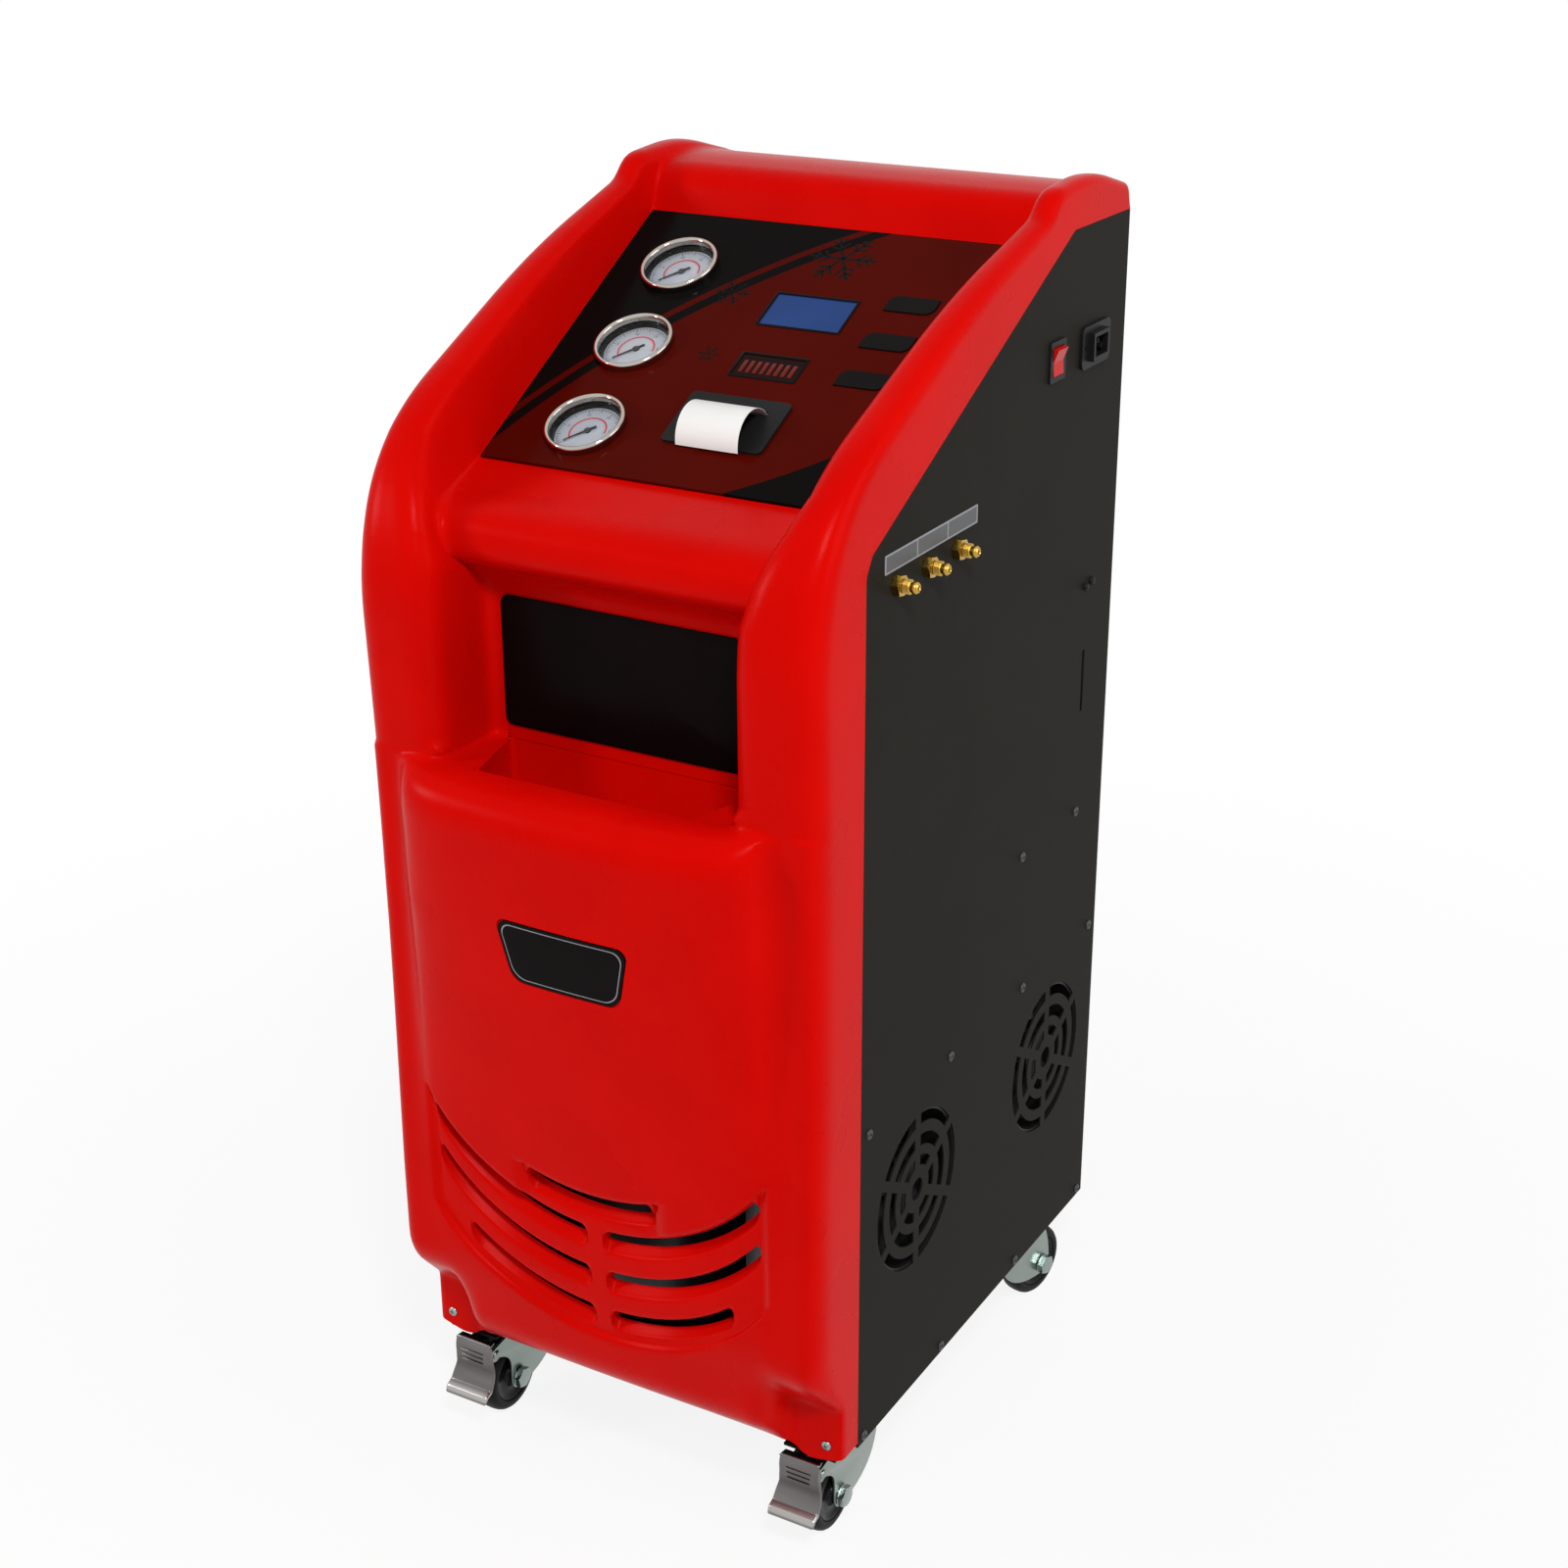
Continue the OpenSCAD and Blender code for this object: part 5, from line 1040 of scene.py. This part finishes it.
first = screw_head()
screws = []
for y, z in SIDE_SCREWS:
    spin = spun(y * 7 + z)
    screws.append(twin(first, side_frame(y, z) @ spin))
    screws.append(twin(first, standing(-HALF_W, y, z) @ spun(180) @ SIDE_TURN @ spin))
for x in (-200.5, 200.5):
    for share in (0.02, 0.35, 0.68, 0.98):
        on_back = standing(x, CAB_D, BOTTOM + share * (TOP - BOTTOM)) @ spun(180) @ FRONT_TURN
        screws.append(twin(first, on_back @ Matrix.Rotation(x + 9 * share, 4, "Z")))
give(joined(screws), "sheet_screws", "cabinet", ["panel_screws"], "black_oxide")
tabs = []
for x in (-195, 195):
    tabs.append(twin(first, standing(x, -28, 119) @ FRONT_TURN @ Matrix.Rotation(x, 4, "Z")))
give(joined(tabs), "tab_screws", "cabinet", ["shell_screws"], "bolt_zinc")
bpy.data.objects.remove(first)
plugs = []
for y, z, r in ((408, 755, 3.2), (421, 757, 3.6)):
    plug = [(r * 0.7, -2.0), (r * 0.7, 0), (r, 0.05), (r, 2.2), (r * 0.8, 3.4), (r * 0.4, 4.0)]
    plugs.append(placed(turned(plug, 28), side_frame(y, z)))
give(joined(plugs), "hole_plugs", "cabinet", surface="black_moulding")
print(len(screws), "sheet screws, two tab screws, two plugs")

# %% [markdown]
# A caster's fork has two flat legs with a swept back edge, an eye round the axle and, on the front
# pair, a lug for the pedal's rivet. A web and a turned crown under the race join the legs.

# %% Caster forks
CASTERS = {"front_right": (171, 37.4, 0), "front_left": (-171, 37.4, 0),
           "rear_right": (171, 404, 168), "rear_left": (-171, 404, 192)}
TRAIL, WHEEL_R, PIN = 24.0, 36.0, (-57.0, 80.0)
WEB = [(-15, -19), (15, -19), (15, 40), (-15, 40)]
CROWN = [(6.4, 86), (20, 86), (22.6, 86.7), (24, 88.6), (24, 90.6), (23, 92), (6.4, 92), (6.4, 86)]
RIVET = [(4.4, 16.0), (4.6, 16.3), (4.2, 17.2), (3.0, 18.0), (1.2, 18.4)]


def caster_frame(name):
    """A caster's swivel axis, with its wheel towards -Y."""
    x, y, turn = CASTERS[name]
    return standing(x, y, 0) @ spun(turn)


def sweep(a, p, c, steps=14):
    """A curve as a list of points."""
    corners = (np.array(v, float) for v in (a, p, c))
    return curve(*corners, np.linspace(0, 1, steps + 1)).tolist()


def fork_outline(braked):
    """A leg's outline beside the swivel axis."""
    line = sweep((42, 92), (50, 25), (-TRAIL + 2, 25)) + arc_points(-TRAIL, WHEEL_R, 11, 265, 180, 8)
    if braked:
        line += sweep((-35, 54), (-35.5, 67), (-52.5, 74), 10)
        return line + arc_points(*PIN, 7.2, -55, -265, 16) + [(-38, 90), (-20, 92)]
    return line + sweep((-35, 42), (-31, 82), (-16, 86)) + [(-16, 92)]


def fork(name):
    """Legs, web, crown and rivets of one fork."""
    braked = name.startswith("front")
    parts = []
    for x in (-16.0, 13.5):
        leg = soften(plate(fork_outline(braked), 2.5), 0.7, 3, 40)
        parts.append(placed(leg, moved(x, 0, 0) @ SIDE_TURN))
    parts.append(placed(soften(plate(WEB, 2.4), 0.6, 2), moved(0, 0, 89.4)))
    parts.append(turned(CROWN, 64))
    if braked:
        parts += [placed(turned(RIVET, 32), moved(0, *PIN) @ spun(turn) @ SIDE_TURN) for turn in (0, 180)]
    return joined(parts)


for name in CASTERS:
    give(placed(fork(name), caster_frame(name)), "fork_%s_plate" % name, "caster_%s" % name,
         ["fork_%s" % name], "zinc_plate")
print("four forks")

# %% [markdown]
# Each wheel is a hard black tread on a glossy hub, and turns on a bolt with a large chamfered head,
# a washer and a nut. Tread and hub are turned as two rings, so each has its own finish.

# %% Wheels and axle bolts
TREAD = [(25.5, -9.0), (26.6, -10.6), (28.5, -11.0), (31.0, -10.8), (33.2, -9.8), (34.8, -7.8),
         (35.7, -4.8), (36.0, 0)]
TREAD += [(r, -z) for r, z in TREAD[-2::-1]] + [TREAD[0]]
HUB = [(5.3, -12.5), (10.4, -12.5), (11.0, -12.1), (11.6, -9.6), (13.0, -8.2), (16.5, -7.6), (20.5, -7.8),
       (22.6, -8.8), (24.0, -9.6), (25.3, -9.7), (26.0, -9.0)]
HUB += [(r, -z) for r, z in HUB[::-1]] + [HUB[0]]
ROD, WASHER = [(5.0, -22.4), (5.0, 22.0)], [(9.4, 16.1), (9.7, 16.4), (9.7, 17.2), (9.4, 17.5)]
finish("hub_plastic", (0.006, 0.006, 0.007), (0.009, 0.009, 0.01), 0.24, bump=0.03, gloss=0.12)
for name, (_, _, turn) in CASTERS.items():
    axle = caster_frame(name) @ moved(0, -TRAIL, WHEEL_R)
    wheel = joined([paint(turned(TREAD, 96), "caster_rubber"), paint(turned(HUB, 96), "hub_plastic")])
    give(placed(wheel, axle @ SIDE_TURN), "wheel_%s_tread" % name, "wheel_%s" % name,
         ["wheel_%s" % name])
    parts = [turned(ROD, 32), hexagon(10.0, 17.4, 22.7, 1.6), turned(WASHER, 40)]
    parts.append(placed(hexagon(9.6, 16.2, 21.4, 1.4), spun(180, "X")))
    bolt = placed(joined(parts), axle @ spun(180 if turn else 0) @ SIDE_TURN @ spun(12))
    give(bolt, "axle_%s_bolt" % name, "caster_%s" % name, ["axle_%s" % name], "bolt_zinc")
print("four wheels and bolts")

# %% [markdown]
# The right side sheet is laser cut: two round grilles of arc slots between six wide spokes, holes
# for the ports, the switch and the inlet, and a narrow sight slot. One Boolean cuts them together.

# %% Right side sheet
SHEET, CORNER, SPOKE = 1.5, 10.0, 9.5
GRILLES, RINGS = ((103, 304), (366, 304)), ((21.5, 31), (40, 51), (61.3, 72))
# width, height, y and z of the openings for the switch, the inlet and the sight slot
WINDOWS = ((27.6, 30.6, 326, 973), (32.6, 24.6, 403, 972), (5, 58, 413, 665))


def arc_slot(inner, outer, begin, end):
    """A slot between two radii and two spokes."""
    lean_in, lean_out = (degrees(asin(SPOKE / 2 / r)) for r in (inner, outer))
    far_side = arc_points(0, 0, outer, begin + lean_out, end - lean_out, 12)
    return far_side + arc_points(0, 0, inner, end - lean_in, begin + lean_in, 12)


def opening(points, y, z):
    """A cutter through the sheet for one opening."""
    return placed(plate(points, 4 * SHEET), side_frame(y, z, HALF_W - 2.5 * SHEET))


def round_hole(radius):
    """The outline of a round hole."""
    return arc_points(0, 0, radius, 0, 345, 23)


cutters = [opening(rounded(w, h, 0.5), y, z) for w, h, y, z in WINDOWS]
cutters += [opening(round_hole(8), y, PORT_Z) for y in PORT_Y]
for y, z in GRILLES:
    cutters.append(opening(round_hole(10), y, z))
    for inner, outer in RINGS:
        cutters += [opening(arc_slot(inner, outer, k, k + 60), y, z) for k in range(30, 390, 60)]
sheet = plate([(0, BOTTOM), (CAB_D, BOTTOM), (CAB_D, TOP), (RUN, TOP), slope_line(CORNER, 0),
               (0, FRONT_TOP - CORNER)], SHEET)
carve(placed(sheet, side_frame(0, 0, HALF_W - SHEET)), joined(cutters))
give(sheet, "right_side_sheet", "cabinet", ["right_side_panel"], "black_powder_coat")
print("side sheet with", len(cutters), "openings")

# %% [markdown]
# A brake pedal is one pressed plate with ribs, a hollow bend, a flared foot and folded sides. Path,
# width and fold change together, so its net is worked out row by row and then made thick.

# %% Brake pedals
PEDAL_PATH = [(-62, 97.5, 0, 0), (-69, 98, 3, 10), (-72.5, 90, 6, 20), (-72, 76, 8, 30), (-71, 67, 9, 40),
              (-77.5, 54.5, 1.4, 50), (-84.5, 51, 3.0, 60), (-86.5, 44, 3.0, 70), (-79.5, 41.5, 0, 80)]
PEDAL_HALF = [(0, 18.2), (6, 19.0), (12, 19.3), (25, 18.9), (36, 19.6), (44, 21.6), (52, 22.6), (62, 22.8),
              (70, 22.2), (75, 20.8), (80, 18.0)]
PEDAL_FOLD = [(0, 0.4), (14, 0.6), (18, 4.0), (38, 4.0), (48, 2.6), (56, 1.0), (66, 0.4), (80, 0.2)]
PEDAL_PIN = [(2.8, -13.2), (3.0, -13.0), (3.0, 13.0), (2.8, 13.2)]


def pedal_net():
    """The pedal's outer face and folded sides, row by row."""
    line = softened(PEDAL_PATH, 7)
    down = np.gradient(line[:, :2], axis=0)
    down /= np.linalg.norm(down, axis=1)[:, None]
    rows = []
    for (y, z, s), (dy, dz) in zip(line, down):
        half, fold = (np.interp(s, *zip(*table)) for table in (PEDAL_HALF, PEDAL_FOLD))
        r = 2.0 if fold > 0.5 else 1.2
        flat = half - r
        edge = [(flat + r * sin(a), -r * (1 - cos(a))) for a in np.radians(range(0, 91, 15))]
        edge += [(half, -r - fold * 0.5), (half, -r - fold)]
        across = [(-x, off) for x, off in edge[::-1]]
        across += [(flat * v, 0) for v in np.linspace(-1, 1, 11)[1:-1]] + edge
        rows.append([(x, y + off * dz, z - off * dy) for x, off in across])
    return np.array(rows)


def pedal():
    """One pedal with ribs, ears and pin."""
    rows = pedal_net()
    tall, wide = rows.shape[:2]
    starts = [i * wide + j for i in range(tall - 1) for j in range(wide - 1)]
    quads = [(a, a + wide, a + wide + 1, a + 1) for a in starts]
    pressing = mesh_piece("pedal", [Vector(p) * MM for p in rows.reshape(-1, 3)], quads)
    parts = [thicken(pressing, 1.7)]
    for k in range(3):
        rib = block((24 - k, 2.0, 1.7), (0, -72.7 + 0.1 * k, 87.5 - 5.2 * k))
        parts.append(soften(rib, 0.7))
    ear = [(-71.3, 87)] + arc_points(*PIN, 5.5, 80, -60, 12) + [(-69.2, 66)]
    for x in (-13.2, 11.4):
        parts.append(placed(soften(plate(ear, 1.8), 0.4, 2), moved(x, 0, 0) @ SIDE_TURN))
    parts.append(placed(turned(PEDAL_PIN, 28), moved(0, *PIN) @ SIDE_TURN))
    return joined(parts)


for side in ("right", "left"):
    piece = placed(pedal(), caster_frame("front_" + side))
    give(piece, "brake_pedal_" + side, "pedal_" + side, ["pedal_" + side], "pressed_steel",
         smooth=40)
print("two brake pedals")
